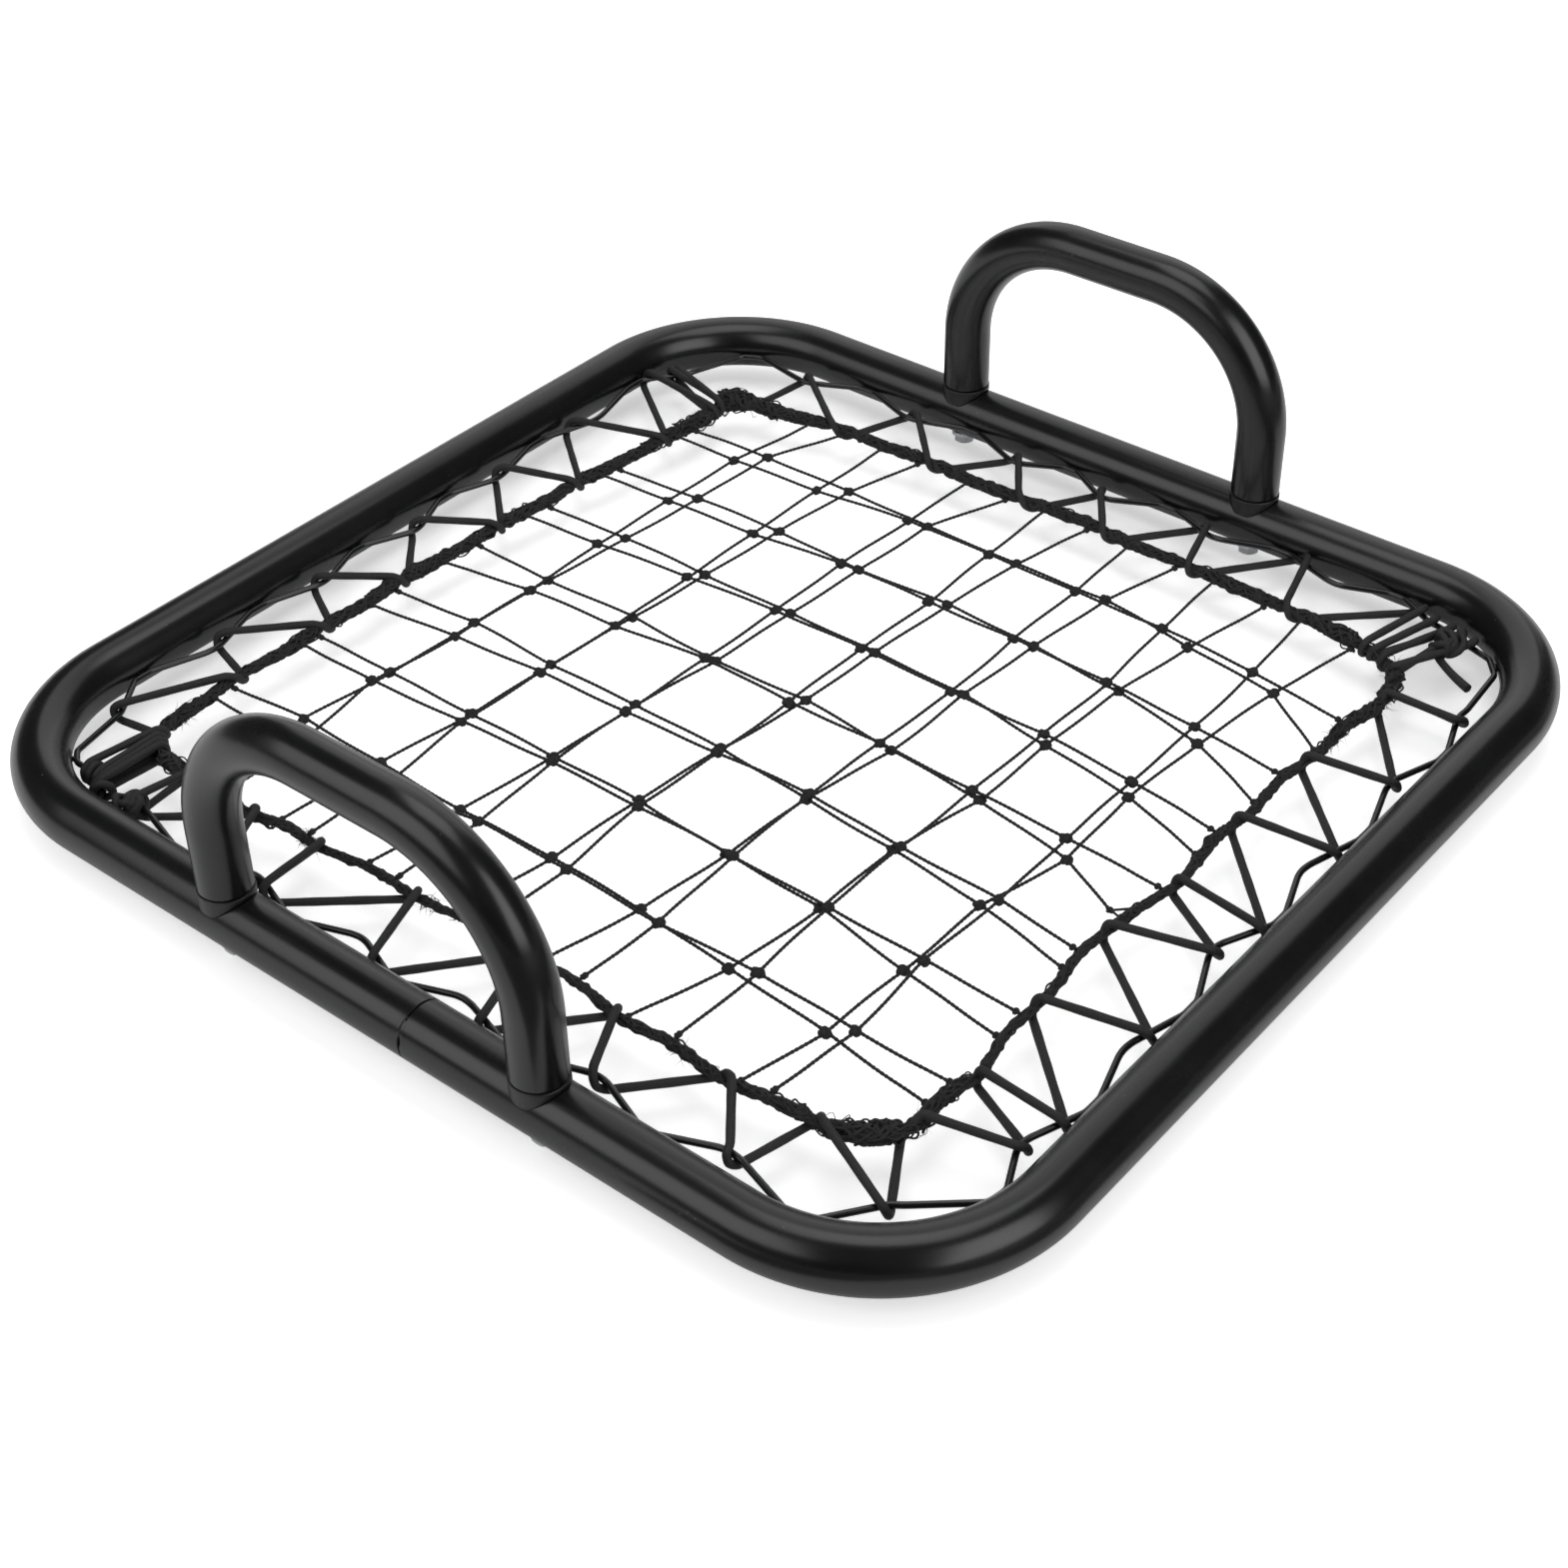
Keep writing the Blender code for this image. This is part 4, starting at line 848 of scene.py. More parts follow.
def tied_knot(place, ahead, size, sides=7, points=26):
    """A knot: a closed line that goes twice round, three times in and out, and up and down. Its
    size is how wide and how tall the line goes, and the line's own radius."""
    wide, tall, thick = size
    t = np.linspace(0, 2 * math.pi, points, endpoint=False)
    across = np.array((-ahead[1], ahead[0], 0.0))
    reach = wide * (1 + 0.54 * np.cos(3 * t))
    line = place + np.outer(1.12 * reach * np.cos(2 * t), (*ahead, 0.0))
    line = line + np.outer(0.95 * reach * np.sin(2 * t), across)
    line = line + np.outer(tall * np.sin(3 * t), (0, 0, 1))
    return closed_tube(line, thick, sides)


def clenched_knot(place, ahead, size):
    """Two such lines through each other, the second turned by a sixth and drawn tighter, so that
    no hole is left in the knot."""
    half, tilt = 0.5, math.sqrt(0.75)
    turned = (half * ahead[0] - tilt * ahead[1], tilt * ahead[0] + half * ahead[1])
    tighter = np.array(size) * (0.62, 0.8, 1.05)
    return [tied_knot(place, way, made, 14, 60) for way, made in ((ahead, size), (turned, tighter))]


def stops_of(stops, level, knot=None, tuck=None):
    """One record per stop: its points, and whether it goes with the bed."""
    parts = [] if knot is None else [(knot, False)]
    for stop in stops:
        parts.append((half_turns(stop, level), stop[0] == "rope"))
        level = -level
    if tuck is not None:
        parts.append((tuck, False))
    return parts


def best_band(parts):
    """Widest straight band between the turns that stay and the turns that go with the bed:
    its direction, where it starts and ends, and its width."""
    stay = np.concatenate([points[:, :2] for points, goes in parts if not goes])
    move = np.concatenate([points[:, :2] for points, goes in parts if goes])
    best = (None, 0.0, 0.0, -1.0)
    for angle in np.linspace(0, 2 * math.pi, 240, endpoint=False):
        way = np.array((math.cos(angle), math.sin(angle)))
        low, high = (stay @ way).max() + LACE_R, (move @ way).min() - LACE_R
        if high - low > best[3]:
            best = (way, low, high, high - low)
    return best


def cut_cord(parts, least=0.007):
    """Cut a cord's stops into stretches, each as long as one band of the least width allows. Both
    stretches that meet share the turn round the wire in which the cord is cut."""
    stretches, start = [], 0
    while start < len(parts) - 1:
        end = start + 1
        for stop in range(start + 2, len(parts) + 1):
            chunk = parts[start:stop]
            if any(goes for _, goes in chunk) and best_band(chunk)[3] < least:
                break
            if stop == len(parts) or not parts[stop - 1][1]:
                end = stop
        stretches.append((start, end))
        start = end - 1
        if end == len(parts):
            break
    return stretches


def cord_radius(run, angle):
    """Cord radius, with the slight unevenness of elastic."""
    uneven = 0.00005 * np.sin(run * 310) + 0.00004 * np.sin(run * 127 + 2)
    return LACE_R - SKIN + uneven + 0 * angle


def tail_radius(run, angle):
    """The same at the cut tail, whose end swells a little."""
    return (LACE_R - SKIN) * (1 + 0.14 * np.exp(-(run / 0.014) ** 2)) + 0 * angle


def lay_cord(name, parts, replaced):
    """Make a lacing cord as stretches that run between the frame and the net bed."""
    corners = np.concatenate([points for points, _ in parts])
    first = np.concatenate(([0], np.cumsum([len(points) for points, _ in parts])))
    along = run_along(corners)
    line = rounded_path(corners, CORD_SPACING, CORD_SOFT)
    step = along[-1] / (len(line) - 1)
    row_of = [round(along[(first[k] + first[k + 1] - 1) // 2] / step) for k in range(len(parts))]
    whole = ring_grid(line, carried_frames(line), cord_radius, 12)
    for count, (start, end) in enumerate(cut_cord(parts)):
        low = 0 if start == 0 else row_of[start]
        high = len(line) - 1 if end == len(parts) else row_of[end - 1]
        rows = slice(low, high + 1)
        grid = {"points": whole["points"][rows], "along": whole["along"][rows], "closed": False}
        piece = make_piece(f"{name}_{count + 1}", [grid], SHEATH, None, (replaced,))
        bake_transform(piece)
    return along[-1]


knot = stopper_points()
rear_parts = stops_of(REAR_LACING, -1, knot=knot[-2:])
rear_length = lay_cord("rear_lacing", rear_parts, "rear_lacing_cord")
front_parts = stops_of(FRONT_LACING, 1, tuck=spot_at(*TUCK_AT, BED_Z - TUCK_DEPTH)[None])
front_length = lay_cord("front_lacing", front_parts, "front_lacing_cord")
knot_line = rounded_path(knot, 0.0008, 0.0009)
knot_grid = ring_grid(knot_line, carried_frames(knot_line), tail_radius, 14)
fist, end_knot = (clenched_knot(spot_at(*spot, BED_Z + lift), ring_plan(*spot)[1][0], size)
                  for spot, lift, size in ((STOPPER_AT, STOPPER_LIFT, FIST),
                                           (END_KNOT_AT, END_KNOT_LIFT, END_KNOT)))
make_piece("stopper_knot", [knot_grid, *fist], SHEATH, "frame", ("rear_lacing_cord",))
make_piece("end_knot", end_knot, SHEATH, "frame", ("front_lacing_cord",))
print(f"rear lacing {rear_length:.2f} m, front lacing {front_length:.2f} m")

# %% [markdown]
# ## The border rope
#
# Seen close, the rope round the net is a dense band of soft twine, knitted rather than laid: a
# twisted body, given a darker colour as painted shade under its threads, fine threads that wind over
# it both ways, and side loops that leave tiny holes along its edges. Its width was read off the
# picture every few centimetres: bunched up to 12 mm in three corners, pulled thin to 4 mm along the
# front and the right side. The elastic squeezes it further.
# In the corners the net's outer meshes are gathered on it as small slack loops.
# Body, threads and loops are sines about one middle line; slow random sines keep them from looking
# like a machine's work.

# %% How the rope swells and shrinks
rope_line = rounded_path(rope.line(BED_Z), 0.0013, 0.0042, closed=True)
rope_up, rope_out = side_frames(rope_line, (0, 0, 1), True)
turn_of = np.linspace(0, 2 * math.pi, len(rope_line), endpoint=False)
rope_length = run_along(rope_line)[-1]
PLAIN_HALF = 0.0038


def gentle(rows, waves, seed):
    """A smooth random value from about -1 to 1 along a closed line: a few sines of whole numbers."""
    random = np.random.default_rng(seed)
    sines = [np.sin(w * rows + random.uniform(0, 2 * math.pi)) for w in random.integers(2, waves, 8)]
    return sum(sines) / 3.4


ROPE_WIDTHS = (
    (0.000, 3.3), (0.030, 4.0), (0.060, 5.7), (0.080, 5.2), (0.095, 9.6), (0.112, 10.8), (0.145, 10.2),
    (0.165, 6.0), (0.180, 4.1), (0.285, 4.6), (0.310, 5.3), (0.330, 7.6), (0.350, 11.2), (0.375, 9.8),
    (0.400, 7.8), (0.430, 7.3), (0.500, 7.2), (0.570, 7.6), (0.592, 9.6), (0.604, 13.4), (0.645, 13.6),
    (0.662, 10.2), (0.680, 7.2), (0.750, 8.2), (0.800, 7.6), (0.830, 5.9), (0.852, 8.8), (0.875, 9.8),
    (0.905, 8.4), (0.925, 4.7), (0.970, 4.0),
)


def half_width(share):
    """Half the rope's width at a share of the way round."""
    shares, widths = np.array(ROPE_WIDTHS).T
    return 0.0005 * np.interp(share, shares, widths, period=1.0)


around = np.linspace(0, 1, 4000, endpoint=False)
along_way = rope.at(around)
nearest = [np.linalg.norm(along_way - spot, axis=1).argmin() for spot in rope_line[:, :2]]
rope_share = around[np.array(nearest)]
wrap_shares = [(come + leave) / 2 for piece, come, leave, halves in REAR_LACING + FRONT_LACING
               if piece == "rope" and halves == 1]
wraps = rope.at(np.array(wrap_shares) % 1.0)
to_wrap = np.linalg.norm(rope_line[:, None, :2] - wraps[None], axis=2).min(axis=1)
free = np.clip((to_wrap - 0.0015) / 0.0055, 0, 1)
free = free * free * (3 - 2 * free)
full = half_width(rope_share) / PLAIN_HALF * (1 + 0.09 * gentle(turn_of, 30, 3))
pinched = np.minimum(full, 0.50 + 0.12 * full)
swell = pinched + free * (full - pinched)
wide = np.clip((full - 0.8) / 0.5, 0, 1)
widths = 2000 * PLAIN_HALF * swell
print(f"rope {rope_length:.2f} m long, {widths.min():.1f} to {widths.max():.1f} mm thick")

# %% Rope body and threads
BODY_LAY, PLY_LAY, THREAD_LAYS = 0.026, 0.004, (0.034, 0.027)


def rope_thread(aside, lift, thick):
    """One thread, some way aside of and above the rope's middle line."""
    line = rope_line + rope_out * aside[:, None] + rope_up * lift[:, None]
    return closed_tube(line, thick, 6)


half_w, half_h = 0.0032 * swell, 0.0026 * swell
skin = np.linspace(0, 2 * math.pi, 18, endpoint=False)[None, :]
oval = 1 / np.hypot(np.cos(skin) / half_h[:, None], np.sin(skin) / half_w[:, None])
lay = round(rope_length / BODY_LAY) * turn_of[:, None]
lumps = 0.82 * (1 + 0.15 * np.cos(3 * (skin - lay)) + 0.08 * np.cos(5 * skin + 7 * lay))
body = ring_grid(rope_line, (rope_up, rope_out), oval * lumps, 18, closed=True)
# The body gets the darker finish, which paints shade under the threads.
make_piece("border_rope_body", [body], SHADED_ROPE_CORE, "net_bed", ("border_rope",))
ply_turn = np.linspace(0, 2 * math.pi, 6, endpoint=False)[None, :]
plies = 2 * (ply_turn - round(rope_length / PLY_LAY) * turn_of[:, None])
for sense, name in ((1, "border_rope_threads_one_way"), (-1, "border_rope_threads_other_way")):
    threads = []
    for k in range(8):
        seed = k + 9 * sense
        winds = round(rope_length / THREAD_LAYS[k % 2])
        wind = sense * winds * turn_of + k * math.pi / 4 + 0.85 * gentle(turn_of, 110, 20 + seed)
        depth = 0.96 + 0.14 * gentle(turn_of, 190, 40 + seed)
        thick = (0.00052 + 0.00010 * (k % 3)) * np.sqrt(swell)[:, None] * (1 + 0.24 * np.cos(plies))
        aside, lift = depth * half_w * np.cos(wind), depth * half_h * np.sin(wind)
        threads.append(rope_thread(aside, lift, thick))
    make_piece(name, threads, ROPE_FIBRE, "net_bed", ("border_rope",))

# %% Side loops
LOOP_R = 0.00046
LOOP_LENGTHS = ((-1, 0.0150), (1, 0.0165), (-1, 0.0210), (1, 0.0190))
loops = []
for k, (side, length) in enumerate(LOOP_LENGTHS):
    beat = round(rope_length / length)
    swing = np.cos(beat * turn_of + k + 1.1 * gentle(turn_of, 60, 50 + k)) ** 2
    reach = (0.0007 + 0.0010 * wide) * (1 + 0.7 * gentle(turn_of, 90, 60 + k))
    aside = side * (0.92 * half_w + free * np.maximum(reach, 0) * swing)
    lift = half_h * (0.45 * np.sin(beat * turn_of + k + 0.9) + 0.25 * gentle(turn_of, 80, 70 + k))
    loops.append(rope_thread(aside, lift, LOOP_R))
make_piece("border_rope_loops", loops, ROPE_FIBRE, "net_bed", ("border_rope",))

# %% Gathered meshes
GATHERED = (
    (0.598, 0.658, 64), (0.096, 0.150, 40), (0.344, 0.386, 26), (0.856, 0.914, 30), (0.300, 0.344, 8),
)
random = np.random.default_rng(5)
along_rope = headings(rope_line, True)
meshes = []
for start, end, count in GATHERED:
    for row in (random.uniform(start, end, count) * len(rope_line)).astype(int):
        turn, tip = random.uniform(0, 2 * math.pi), random.uniform(-0.9, 0.9)
        spoke = rope_out[row] * math.cos(turn) + rope_up[row] * math.sin(turn)
        skirt = math.cos(tip) * np.cross(along_rope[row], spoke) + math.sin(tip) * spoke
        skin_off = half_w[row] * abs(math.cos(turn)) + half_h[row] * abs(math.sin(turn))
        t = np.linspace(0, 2 * math.pi, 24, endpoint=False)[:, None]
        line = rope_line[row] + 0.88 * skin_off * spoke
        line = line + random.uniform(0.0028, 0.0056) * np.cos(t) * along_rope[row]
        line = line + random.uniform(0.0010, 0.0023) * np.sin(t) * skirt
        line = line + 0.0005 * np.sin(3 * t + turn) * spoke + 0.0006 * np.sin(2 * t + tip) * skirt
        meshes.append(closed_tube(line, random.uniform(0.00036, 0.00056), 5, spoke))
make_piece("gathered_meshes", meshes, ROPE_FIBRE, "net_bed", ())

# %% [markdown]
# ## Fluff
#
# Cut from old net, the rope frays. Thin threads have pulled out of it and curl back or end free,
# short hairs stand all along it, and cut ends make tufts at a few places. A hair is a bent
# three-sided spike a quarter of a millimetre thick. They are all worked out in one array.

# %% Fluff on the rope
TUFTS = (
    0.3615, 0.3625, 0.3242, 0.3217, 0.3450, 0.6180, 0.6330, 0.8488, 0.8885, 0.9295, 0.9305, 0.9738,
    0.9838, 0.0620, 0.1300,
)
LONE_HAIRS, TUFT_HAIRS, TUFT_SPREAD = 360, 40, 0.0016
HAIR_R = (0.00013, 0.00012, 0.00009, 0.00003)
HAIR_CURL = 0.55


def hairs(roots, ways, lengths, curl, random):
    """Spikes with four rings of three points; each bends sideways as the square of its length."""
    count = len(roots)
    t = np.array((0.0, 0.35, 0.7, 1.0))[None, :, None]
    bend = random.normal(size=(count, 3))
    bend = bend / np.linalg.norm(bend, axis=1, keepdims=True)
    spine = roots[:, None] + (ways[:, None] * t + bend[:, None] * curl * t ** 2) * lengths[:, None, None]
    across = np.cross(ways, bend)
    across = across / np.linalg.norm(across, axis=1, keepdims=True)
    other = np.cross(ways, across)
    turn = np.arange(3) * 2 * math.pi / 3
    spokes = across[:, None, None] * np.cos(turn)[None, None, :, None]
    spokes = spokes + other[:, None, None] * np.sin(turn)[None, None, :, None]
    points = spine[:, :, None] + spokes * np.array(HAIR_R)[None, :, None, None]
    ring = np.arange(3)
    low = ring[None, :] + 3 * np.arange(3)[:, None]
    high = (ring + 1)[None, :] % 3 + 3 * np.arange(3)[:, None]
    quads = np.stack((low, high, high + 3, low + 3), axis=-1).reshape(-1, 4)
    quads = (quads[None] + 12 * np.arange(count)[:, None, None]).reshape(-1, 4)
    ends = np.array(((2, 1, 0), (9, 10, 11)))[None] + 12 * np.arange(count)[:, None, None]
    return points.reshape(-1, 3), quads.tolist() + ends.reshape(-1, 3).tolist()


random = np.random.default_rng(29)
in_tufts = np.concatenate([random.normal(share, TUFT_SPREAD, TUFT_HAIRS) for share in TUFTS])
shares = np.concatenate((random.uniform(0, 1, LONE_HAIRS), in_tufts)) % 1.0
rows = (shares * len(rope_line)).astype(int)
turn = random.uniform(0, 2 * math.pi, len(rows))
spoke = rope_out[rows] * np.cos(turn)[:, None] + rope_up[rows] * np.sin(turn)[:, None]
roots = rope_line[rows] + spoke * half_h[rows][:, None]
ways = spoke + along_rope[rows] * random.uniform(-1.4, 1.4, len(rows))[:, None]
ways = ways / np.linalg.norm(ways, axis=1, keepdims=True)
lengths = np.concatenate((random.uniform(0.0009, 0.0022, LONE_HAIRS),
                          random.uniform(0.0022, 0.0062, len(in_tufts))))
fluff = new_object("rope_fluff", *hairs(roots, ways, lengths, HAIR_CURL, random), ROPE_FIBRE)
fluff.data.uv_layers.new(name="surface")
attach(fluff, "net_bed")
print(f"{len(roots)} hairs")

# %% Pulled threads
SNAGS = (
    0.6030, 0.6075, 0.6120, 0.6165, 0.6450, 0.6300, 0.9720, 0.9740, 0.9760, 0.1260, 0.1080, 0.3615,
    0.8488, 0.9295,
)
lone = random.uniform(0, 1, 12)
snag_shares = np.append(lone, np.repeat(SNAGS, 3) + random.normal(0, 0.0012, 3 * len(SNAGS)))
pulled = []
for row in (snag_shares % 1.0 * len(rope_line)).astype(int):
    t = np.linspace(0, 1, 26)[:, None]
    turn = random.uniform(0, 2 * math.pi)
    spoke = rope_out[row] * math.cos(turn) + rope_up[row] * math.sin(turn)
    hump = np.sin(math.pi * t * random.choice((0.55, 1.0)))
    line = rope_line[row] + spoke * (0.8 * half_h[row] + random.uniform(0.0008, 0.0032) * hump)
    line = line + along_rope[row] * random.uniform(-0.009, 0.009) * t
    for wave in (1, 2, 3):
        line = line + random.normal(0, 0.0009 / wave, 3) * np.sin(math.pi * wave * t)
    pulled.append(ring_grid(line, carried_frames(line), random.uniform(0.00011, 0.00024), 4))
make_piece("pulled_threads", pulled, ROPE_FIBRE, "net_bed", ())

# %% [markdown]
# ## The net
#
# The net is twisted twine, knotted at every crossing. Two layers lie a little apart, so that two
# sets of squares show, about half a mesh from each other. The twine has two plies: its section is
# a rounded lens that turns as it goes along. No mesh is quite even, so each knot is listed by how
# many tenths of a millimetre it is pulled from an even grid, and each twine end by its place on the
# rope. The pulls weren't chosen by hand: a scratch program matched knots to the photograph, took the
# others as read from enlarged crops, and wrote the list. The knot is the lacing's end knot made
# small, and ties the ends as well; one end is tied to a loop of its own.

# %% Net
NET_LAYERS = {
    "net_layer_upper": dict(
        level=1, pitch=(0.0540, 0.0527), middle=(-0.0011, -0.0037),
        front=(0.9217, 0.9476, 0.9735, 0.9994, 0.0260, 0.0525, 0.0775),
        right=(0.1713, 0.1958, 0.2188, 0.2457, 0.2690, 0.2950, 0.3205),
        back=(0.5755, 0.5523, 0.5242, 0.5008, 0.4748, 0.4495, 0.4240),
        left=(0.8329, 0.8053, 0.7835, 0.7590, 0.7305, 0.7040, 0.6780),
        pulled=(
            ((37, -107), (-67, -43), (-13, -58), (-1, -65), (-24, -65), (-9, -55), (5, -58)),
            ((31, -44), (-35, -13), (-15, -20), (6, -31), (3, -11), (10, -24), (9, -20)),
            ((14, 28), (-26, 28), (-15, 0), (-4, 35), (7, 36), (7, 38), (27, 42)),
            ((14, 30), (-32, 25), (-10, 21), (6, 4), (2, 37), (21, 36), (8, 38)),
            ((27, 14), (-12, 23), (-23, 47), (-1, 18), (17, 20), (0, 35), (7, 33)),
            ((22, 34), (-6, 18), (-10, 7), (5, 0), (17, 19), (20, 11), (-14, 27)),
            ((19, 11), (-15, -3), (2, -19), (-10, -23), (-3, -31), (-2, -29), (-17, -18)),
        )),
    "net_layer_lower": dict(
        level=-1, pitch=(0.0546, 0.0532), middle=(-0.0002, 0.0010),
        front=(0.9119, 0.9379, 0.9639, 0.9900, 0.0150, 0.0395, 0.0685),
        right=(0.1650, 0.1889, 0.2135, 0.2340, 0.2610, 0.2840, 0.3085),
        back=(0.5685, 0.5408, 0.5125, 0.4880, 0.4610, 0.4348, 0.4084),
        left=(0.8248, 0.7995, 0.7742, 0.7468, 0.7225, 0.6977, 0.6705),
        pulled=(
            ((-117, 61), (-66, 45), (-43, 69), (-10, 38), (40, 41), (84, 32), (111, 50)),
            ((-132, 48), (-67, 50), (-41, 44), (6, 57), (39, 35), (81, 48), (127, 46)),
            ((-138, 30), (-71, 42), (-47, 53), (24, 28), (57, 39), (83, 22), (114, 26)),
            ((-127, 38), (-92, 50), (-48, 40), (27, 47), (47, 28), (81, 47), (134, 25)),
            ((-130, 24), (-79, 6), (-45, -8), (41, -11), (45, 15), (81, 14), (130, 35)),
            ((-129, -33), (-70, -26), (-63, -47), (32, -58), (32, -70), (66, -41), (129, -62)),
            ((-115, -84), (-93, -118), (-87, -116), (35, -164), (3, -158), (33, -160), (107, -133)),
        )),
}
HALF = 3
NET_GAP, PULL_UNIT = 0.0013, 0.0001
TWINE_R, PLY_R, TWINE_LAY = 0.00065, 0.00074, 0.0049
END_HITCH, NET_KNOT = (0.00085, 0.00053, 0.00068), (0.0010, 0.00056, 0.00094)
BRIDLE = ((0.2340, 0.0755), (0.2372, 0.0690), (0.2330, 0.0690))


def wrap_room():
    """Where the lacing crosses the inner side of the rope, and how much room it takes there."""
    spots = []
    for piece, come, leave, halves in REAR_LACING + FRONT_LACING:
        if piece == "rope":
            for k in range(halves):
                travel = abs(leave - come) / halves * RING
                spots.append(((come + (leave - come) * (k + 0.5) / halves) % 1.0,
                              LACE_R + TWINE_R + 3 * FIT + 0.2 * travel))
    return spots


def clear_share(share, spots):
    """Move a twine's end along the rope, a little at a time, until it is clear of the lacing."""
    for _ in range(3):
        for spot, room in spots:
            off = (share - spot + 0.5) % 1.0 - 0.5
            while np.linalg.norm(rope.at(share) - rope.at(spot)) < room:
                share += math.copysign(0.0003, off)
    return share


def knot_place(layer, column, row):
    """Plan place of a knot: its place in an even grid, and how far it is pulled from there."""
    pulled = PULL_UNIT * np.array(layer["pulled"][column + HALF][row + HALF])
    return np.array(layer["middle"]) + np.array(layer["pitch"]) * (column, row) + pulled


def tie_end(share):
    """Last points of a twine at the rope, on its inner side."""
    return rope.at(share) + rope.inward(share) * 0.75 * half_width(share)


def ply_radius(along, angle):
    """Two plies twisted together: a section with two lobes that turns once in 4.9 mm."""
    return PLY_R * (1 + 0.24 * np.cos(2 * (angle - 2 * math.pi * along / TWINE_LAY)))


rng = np.random.default_rng(11)
spots = wrap_room()
bridle = np.array([(*ring_plan(*spot)[0][0], BED_Z) for spot in BRIDLE])
bridle = rounded_path(bridle, 0.0007, 0.0008, closed=True)
for name, layer in NET_LAYERS.items():
    height = BED_Z + layer["level"] * NET_GAP
    grids, knots = [], []
    steps = range(-HALF, HALF + 1)
    for across in (True, False):
        for lane in steps:
            places = [knot_place(layer, k, lane) if across else knot_place(layer, lane, k) for k in steps]
            sides = ("left", "right") if across else ("front", "back")
            ends = [clear_share(layer[side][lane + HALF], spots) for side in sides]
            tied = [tie_end(share) for share in ends]
            if name == "net_layer_lower" and across and lane == 0:
                tied[1] = bridle[0, :2]
                grids.append(closed_tube(bridle, 0.0006, 7))
            line = [tied[0], *places, tied[1]]
            line = np.column_stack((line, np.full(len(line), height)))
            line = rounded_path(line, 0.0010, 0.0012)
            frames = side_frames(line, (0, 0, 1))
            run = run_along(line)
            ease = np.minimum(1, np.minimum(run, run[-1] - run) / 0.02)
            phase = rng.uniform(0, 6, 3)
            wander = 0.00035 * ease * (np.sin(run * 95 + phase[0]) + np.sin(run * 41 + phase[1]))
            lift = (0.00030 if across else -0.00030) + 0.00012 * np.sin(run * 60 + phase[2])
            line = line + frames[1] * wander[:, None] + frames[0] * (lift * ease)[:, None]
            grids.append(ring_grid(line, frames, ply_radius, 8))
            for spot, inner in ((tied[0], places[0]), (tied[1], places[-1])):
                way = (inner - spot) / np.linalg.norm(inner - spot)
                knots.append(tied_knot(np.append(spot + way * 0.0022, height), way, END_HITCH))
    for column in steps:
        for row in steps:
            turn = rng.uniform(0, 2 * math.pi)
            size = rng.uniform(1.26, 1.42) * np.array(NET_KNOT)
            place = np.append(knot_place(layer, column, row), height)
            knots.append(tied_knot(place, (math.cos(turn), math.sin(turn)), size))
    make_piece("knotted_" + name, grids + knots, TWINE, "net_bed", (name,))

# %% [markdown]
# ## Floor, light and backdrop
#
# A glossy black tube is mostly a picture of the room. Reading the highlights along the tubes shows
# that room: a tall bright wall behind the left back corner, a soft box overhead, a broad bright
# panel on either side of the camera with a dark gap between them, and darkness on the right. Two
# lamps and the open white surroundings light everything evenly. What stands in the room besides
# is seen by gloss only: a dark tent, a dark board behind the camera, a grey sheet on the floor in
# front and to the right, which paints the floor's shade into the tubes' reflections, and three
# cards that glow, which draw their highlights and add no light.

# %% Lamps
def far_place(azimuth, elevation, distance):
    """A place in a direction seen from the object, so far off."""
    a, e = math.radians(azimuth), math.radians(elevation)
    return distance * np.array((math.cos(e) * math.cos(a), math.cos(e) * math.sin(a), math.sin(e)))


def soft_lamp(name, azimuth, elevation, distance, size, glow):
    """A lamp that looks at the object, with its brightness as a plain number: 1 looks white."""
    place = far_place(azimuth, elevation, distance)
    lamp = bpy.data.lights.new(name, "AREA")
    lamp.shape = "RECTANGLE"
    lamp.size, lamp.size_y = size
    lamp.energy = math.pi * size[0] * size[1] * glow
    holder = bpy.data.objects.new(name, lamp)
    bpy.context.scene.collection.objects.link(holder)
    holder.matrix_world = look_matrix(place, -place, 0.0).T.tolist()
    holder.visible_camera = False


soft_lamp("bright_wall", 121, 37, 2.3, (2.2, 1.45), 0.96)
soft_lamp("overhead_box", 118, 79, 1.9, (1.2, 1.2), 2.2)

# %% Floor and tent
FLOOR_GLOW = (0.42, 0.60)
FLOOR_HALF, FLOOR_Z, APRON_Z = 9.0, -0.0002, 0.0004
APRON = ((0.12, -0.32), (0.12, -1.7), (1.7, -1.7), (1.7, 1.4), (0.33, 1.4), (0.33, -0.32))
TENT_R, TENT_ROWS, TENT_SIDES = 3.4, 14, 48


def white_to_the_eye(tree, mirrored=1.0):
    """A value of 1 for rays that look or pass through, some value for rays that mirror, and 0 for
    rays that only light."""
    rays = tree.nodes.new("ShaderNodeLightPath").outputs

    def step(operation, first, second):
        made = tree.nodes.new("ShaderNodeMath")
        made.operation = operation
        tree.links.new(first, made.inputs[0])
        if isinstance(second, float):
            made.inputs[1].default_value = second
        else:
            tree.links.new(second, made.inputs[1])
        return made.outputs[0]

    seen = step("MAXIMUM", rays["Is Camera Ray"], step("MULTIPLY", rays["Is Glossy Ray"], mirrored))
    return step("MAXIMUM", seen, rays["Is Transmission Ray"])


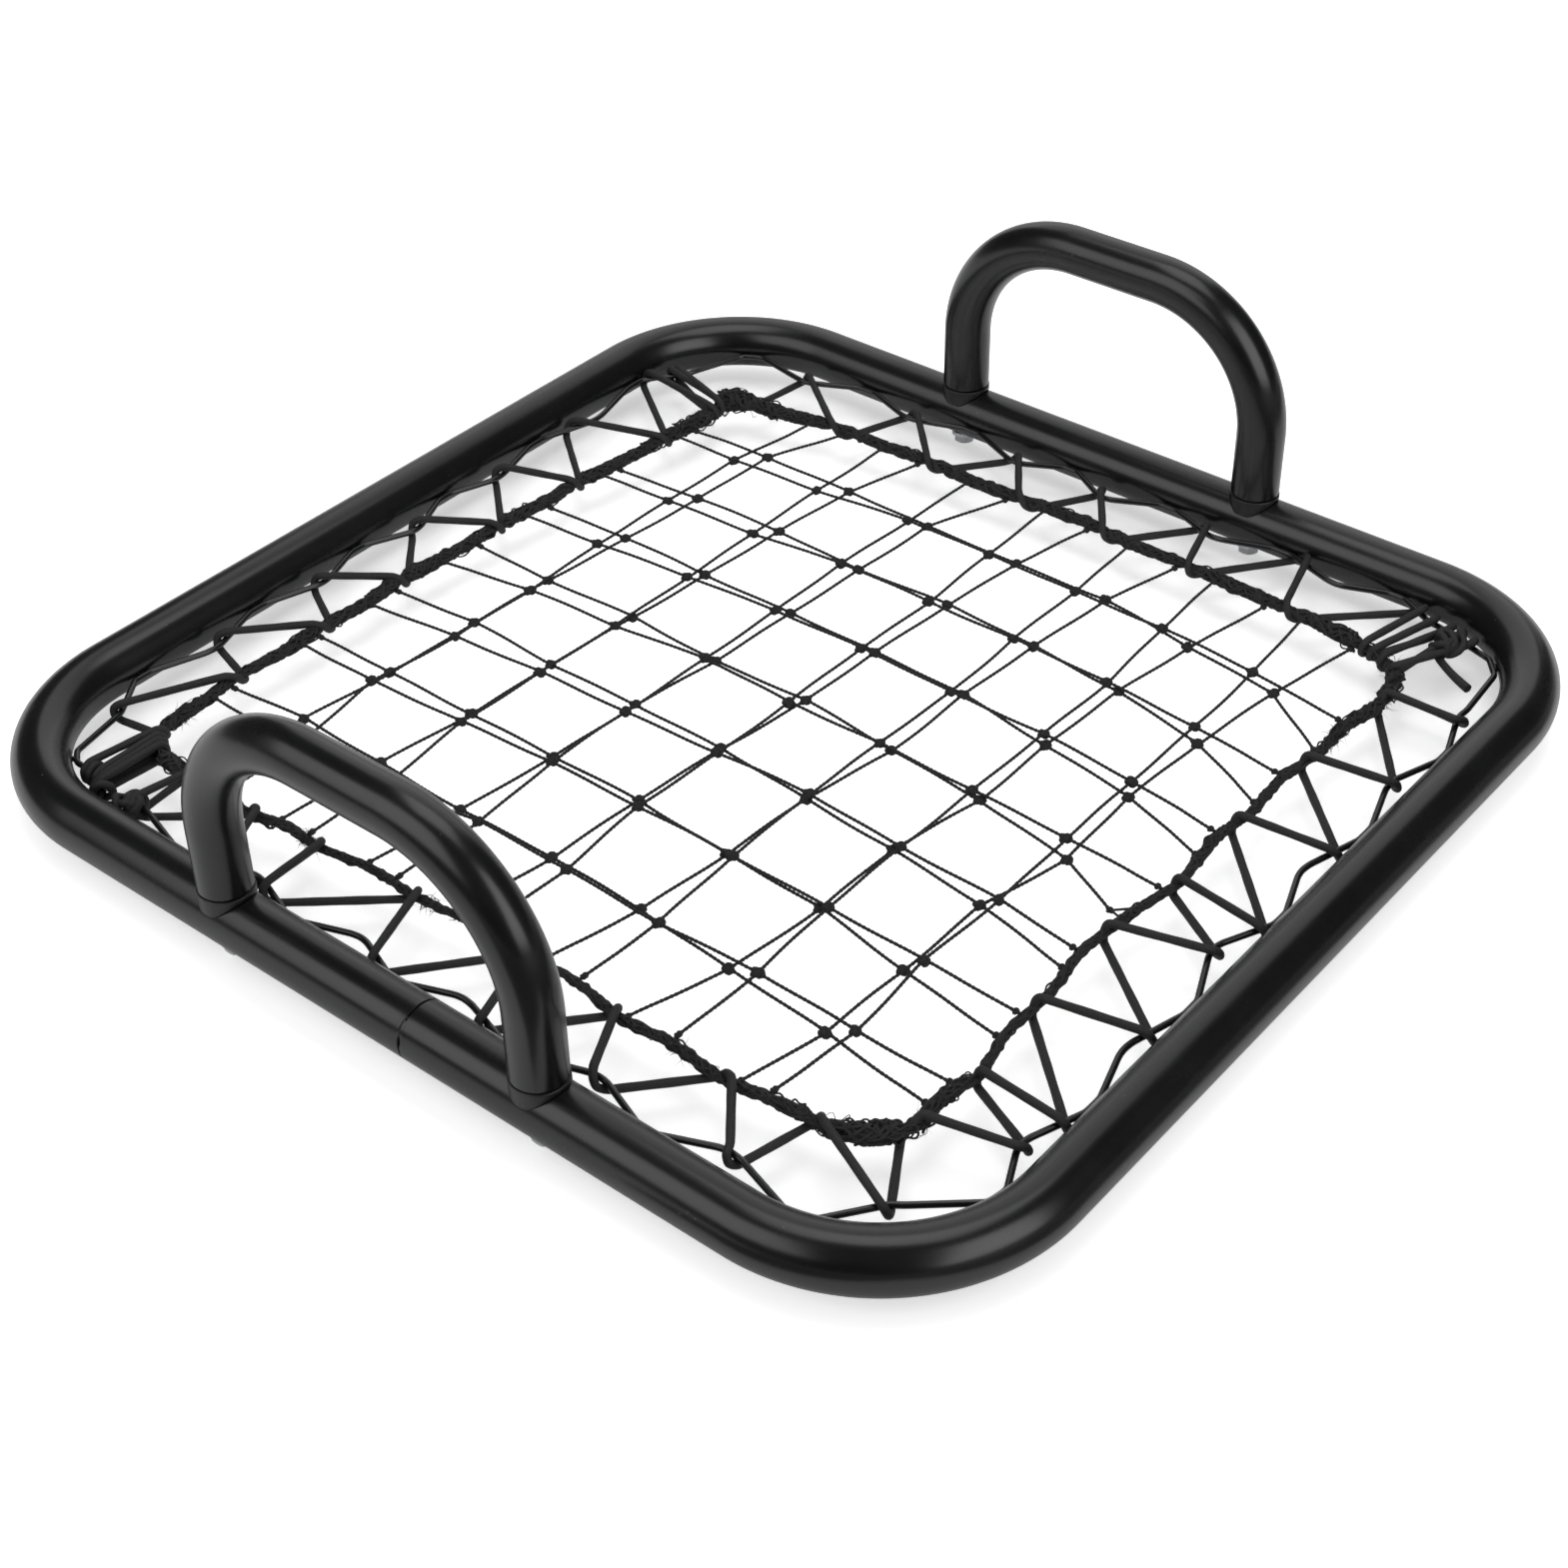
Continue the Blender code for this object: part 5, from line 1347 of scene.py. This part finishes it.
def floor_finish():
    """Matt white floor that also glows a little to the eye, so that it is white in the open and a
    shadow shows only close to the tube: narrow inside the frame, and fainter still outside."""
    f = Finish("studio floor", (0.90, 0.90, 0.90), 0.9, Emission_Color=(1.0, 1.0, 1.0, 1.0))
    place = f.place()
    f.use(f.blend(f.noise(place, 6.0, 2.0), 3 * (0.895,), 3 * (0.905,)))
    split = f.node("SeparateXYZ")
    f.link(place, split.inputs[0])
    shares = [f.maths("MULTIPLY", split.outputs[k], 2 / size) for k, size in enumerate((FRAME_W, FRAME_D))]
    sums = [f.maths("POWER", f.maths("ABSOLUTE", share), 7.0) for share in shares]
    glow = f.ramp(f.maths("ADD", *sums), *FLOOR_GLOW, 0.85, 1.25)
    glow = f.maths("MULTIPLY", white_to_the_eye(f.tree, 0.2), glow)
    f.link(glow, f.shader.inputs["Emission Strength"])
    return f.material


def stage_piece(name, points, faces, finish):
    """A piece of the studio."""
    piece = new_object(name, points, faces, finish)
    return piece


def for_gloss_only(piece):
    """Hide a piece of the studio from all rays but those that mirror."""
    piece.visible_camera = piece.visible_diffuse = False
    piece.visible_shadow = piece.visible_transmission = False


def glow_card(name, azimuth, elevation, distance, size, strength, roll=0.0):
    """A card that looks at the object, for gloss only; a strength of 1 mirrors as white and 0 is a
    black board."""
    place = far_place(azimuth, elevation, distance)
    facing = look_matrix(place, -place, roll)
    corners = [(-1, -1), (1, -1), (1, 1), (-1, 1)]
    points = [(facing @ (x * size[0] / 2, y * size[1] / 2, 0, 1))[:3] for x, y in corners]
    finish = Finish(name + " cloth", (0.0, 0.0, 0.0), 1.0, Emission_Color=(1, 1, 1, 1),
                    Emission_Strength=strength)
    for_gloss_only(stage_piece(name, points, [(0, 1, 2, 3)], finish.material))


glow_card("right_card", -8, 34, 2.4, (1.9, 2.0), 2.75)
glow_card("left_card", -110, 40, 2.4, (2.4, 1.7), 1.95, 22.0)
glow_card("far_card", 120, 9, 2.9, (4.0, 1.5), 0.58)
glow_card("dark_board", -50.4, 34, 0.965, (0.66, 1.1), 0.0)
# A grey sheet on the floor, for gloss only: painted shade of the floor, mirrored in the tubes.
for_gloss_only(stage_piece("floor_shade_apron", [(x, y, APRON_Z) for x, y in APRON], [range(len(APRON))],
                           Finish("painted floor shade", (0.12, 0.12, 0.12), 1.0).material))
stage_piece("floor", [(x * FLOOR_HALF, y * FLOOR_HALF, FLOOR_Z) for x, y in
                      ((-1, -1), (1, -1), (1, 1), (-1, 1))], [(0, 1, 2, 3)], floor_finish())
round_, up = np.meshgrid(np.linspace(0, 2 * math.pi, TENT_SIDES, endpoint=False),
                         np.linspace(0.02, math.pi / 2, TENT_ROWS))
shell = np.stack((np.cos(up) * np.cos(round_), np.cos(up) * np.sin(round_), np.sin(up)), axis=-1)
for_gloss_only(stage_piece("dark_tent", (TENT_R * shell).reshape(-1, 3),
                           grid_faces(TENT_ROWS, TENT_SIDES, False).tolist(),
                           Finish("tent cloth", (0.05, 0.05, 0.05), 0.95).material))

# %% Surroundings
ROOM_LIGHT = 0.68
world = bpy.data.worlds.new("studio")
world.use_nodes = True
bpy.context.scene.world = world
tree = world.node_tree
mix = tree.nodes.new("ShaderNodeMixShader")
tree.links.new(white_to_the_eye(tree), mix.inputs["Fac"])
light, backdrop = tree.nodes["Background"], tree.nodes.new("ShaderNodeBackground")
for slot, shade, strength in ((1, light, ROOM_LIGHT), (2, backdrop, 1.0)):
    shade.inputs["Color"].default_value = (1.0, 1.0, 1.0, 1.0)
    shade.inputs["Strength"].default_value = strength
    tree.links.new(shade.outputs[0], mix.inputs[slot])
tree.links.new(mix.outputs[0], tree.nodes["World Output"].inputs["Surface"])
bpy.context.scene.view_settings.view_transform = "Standard"
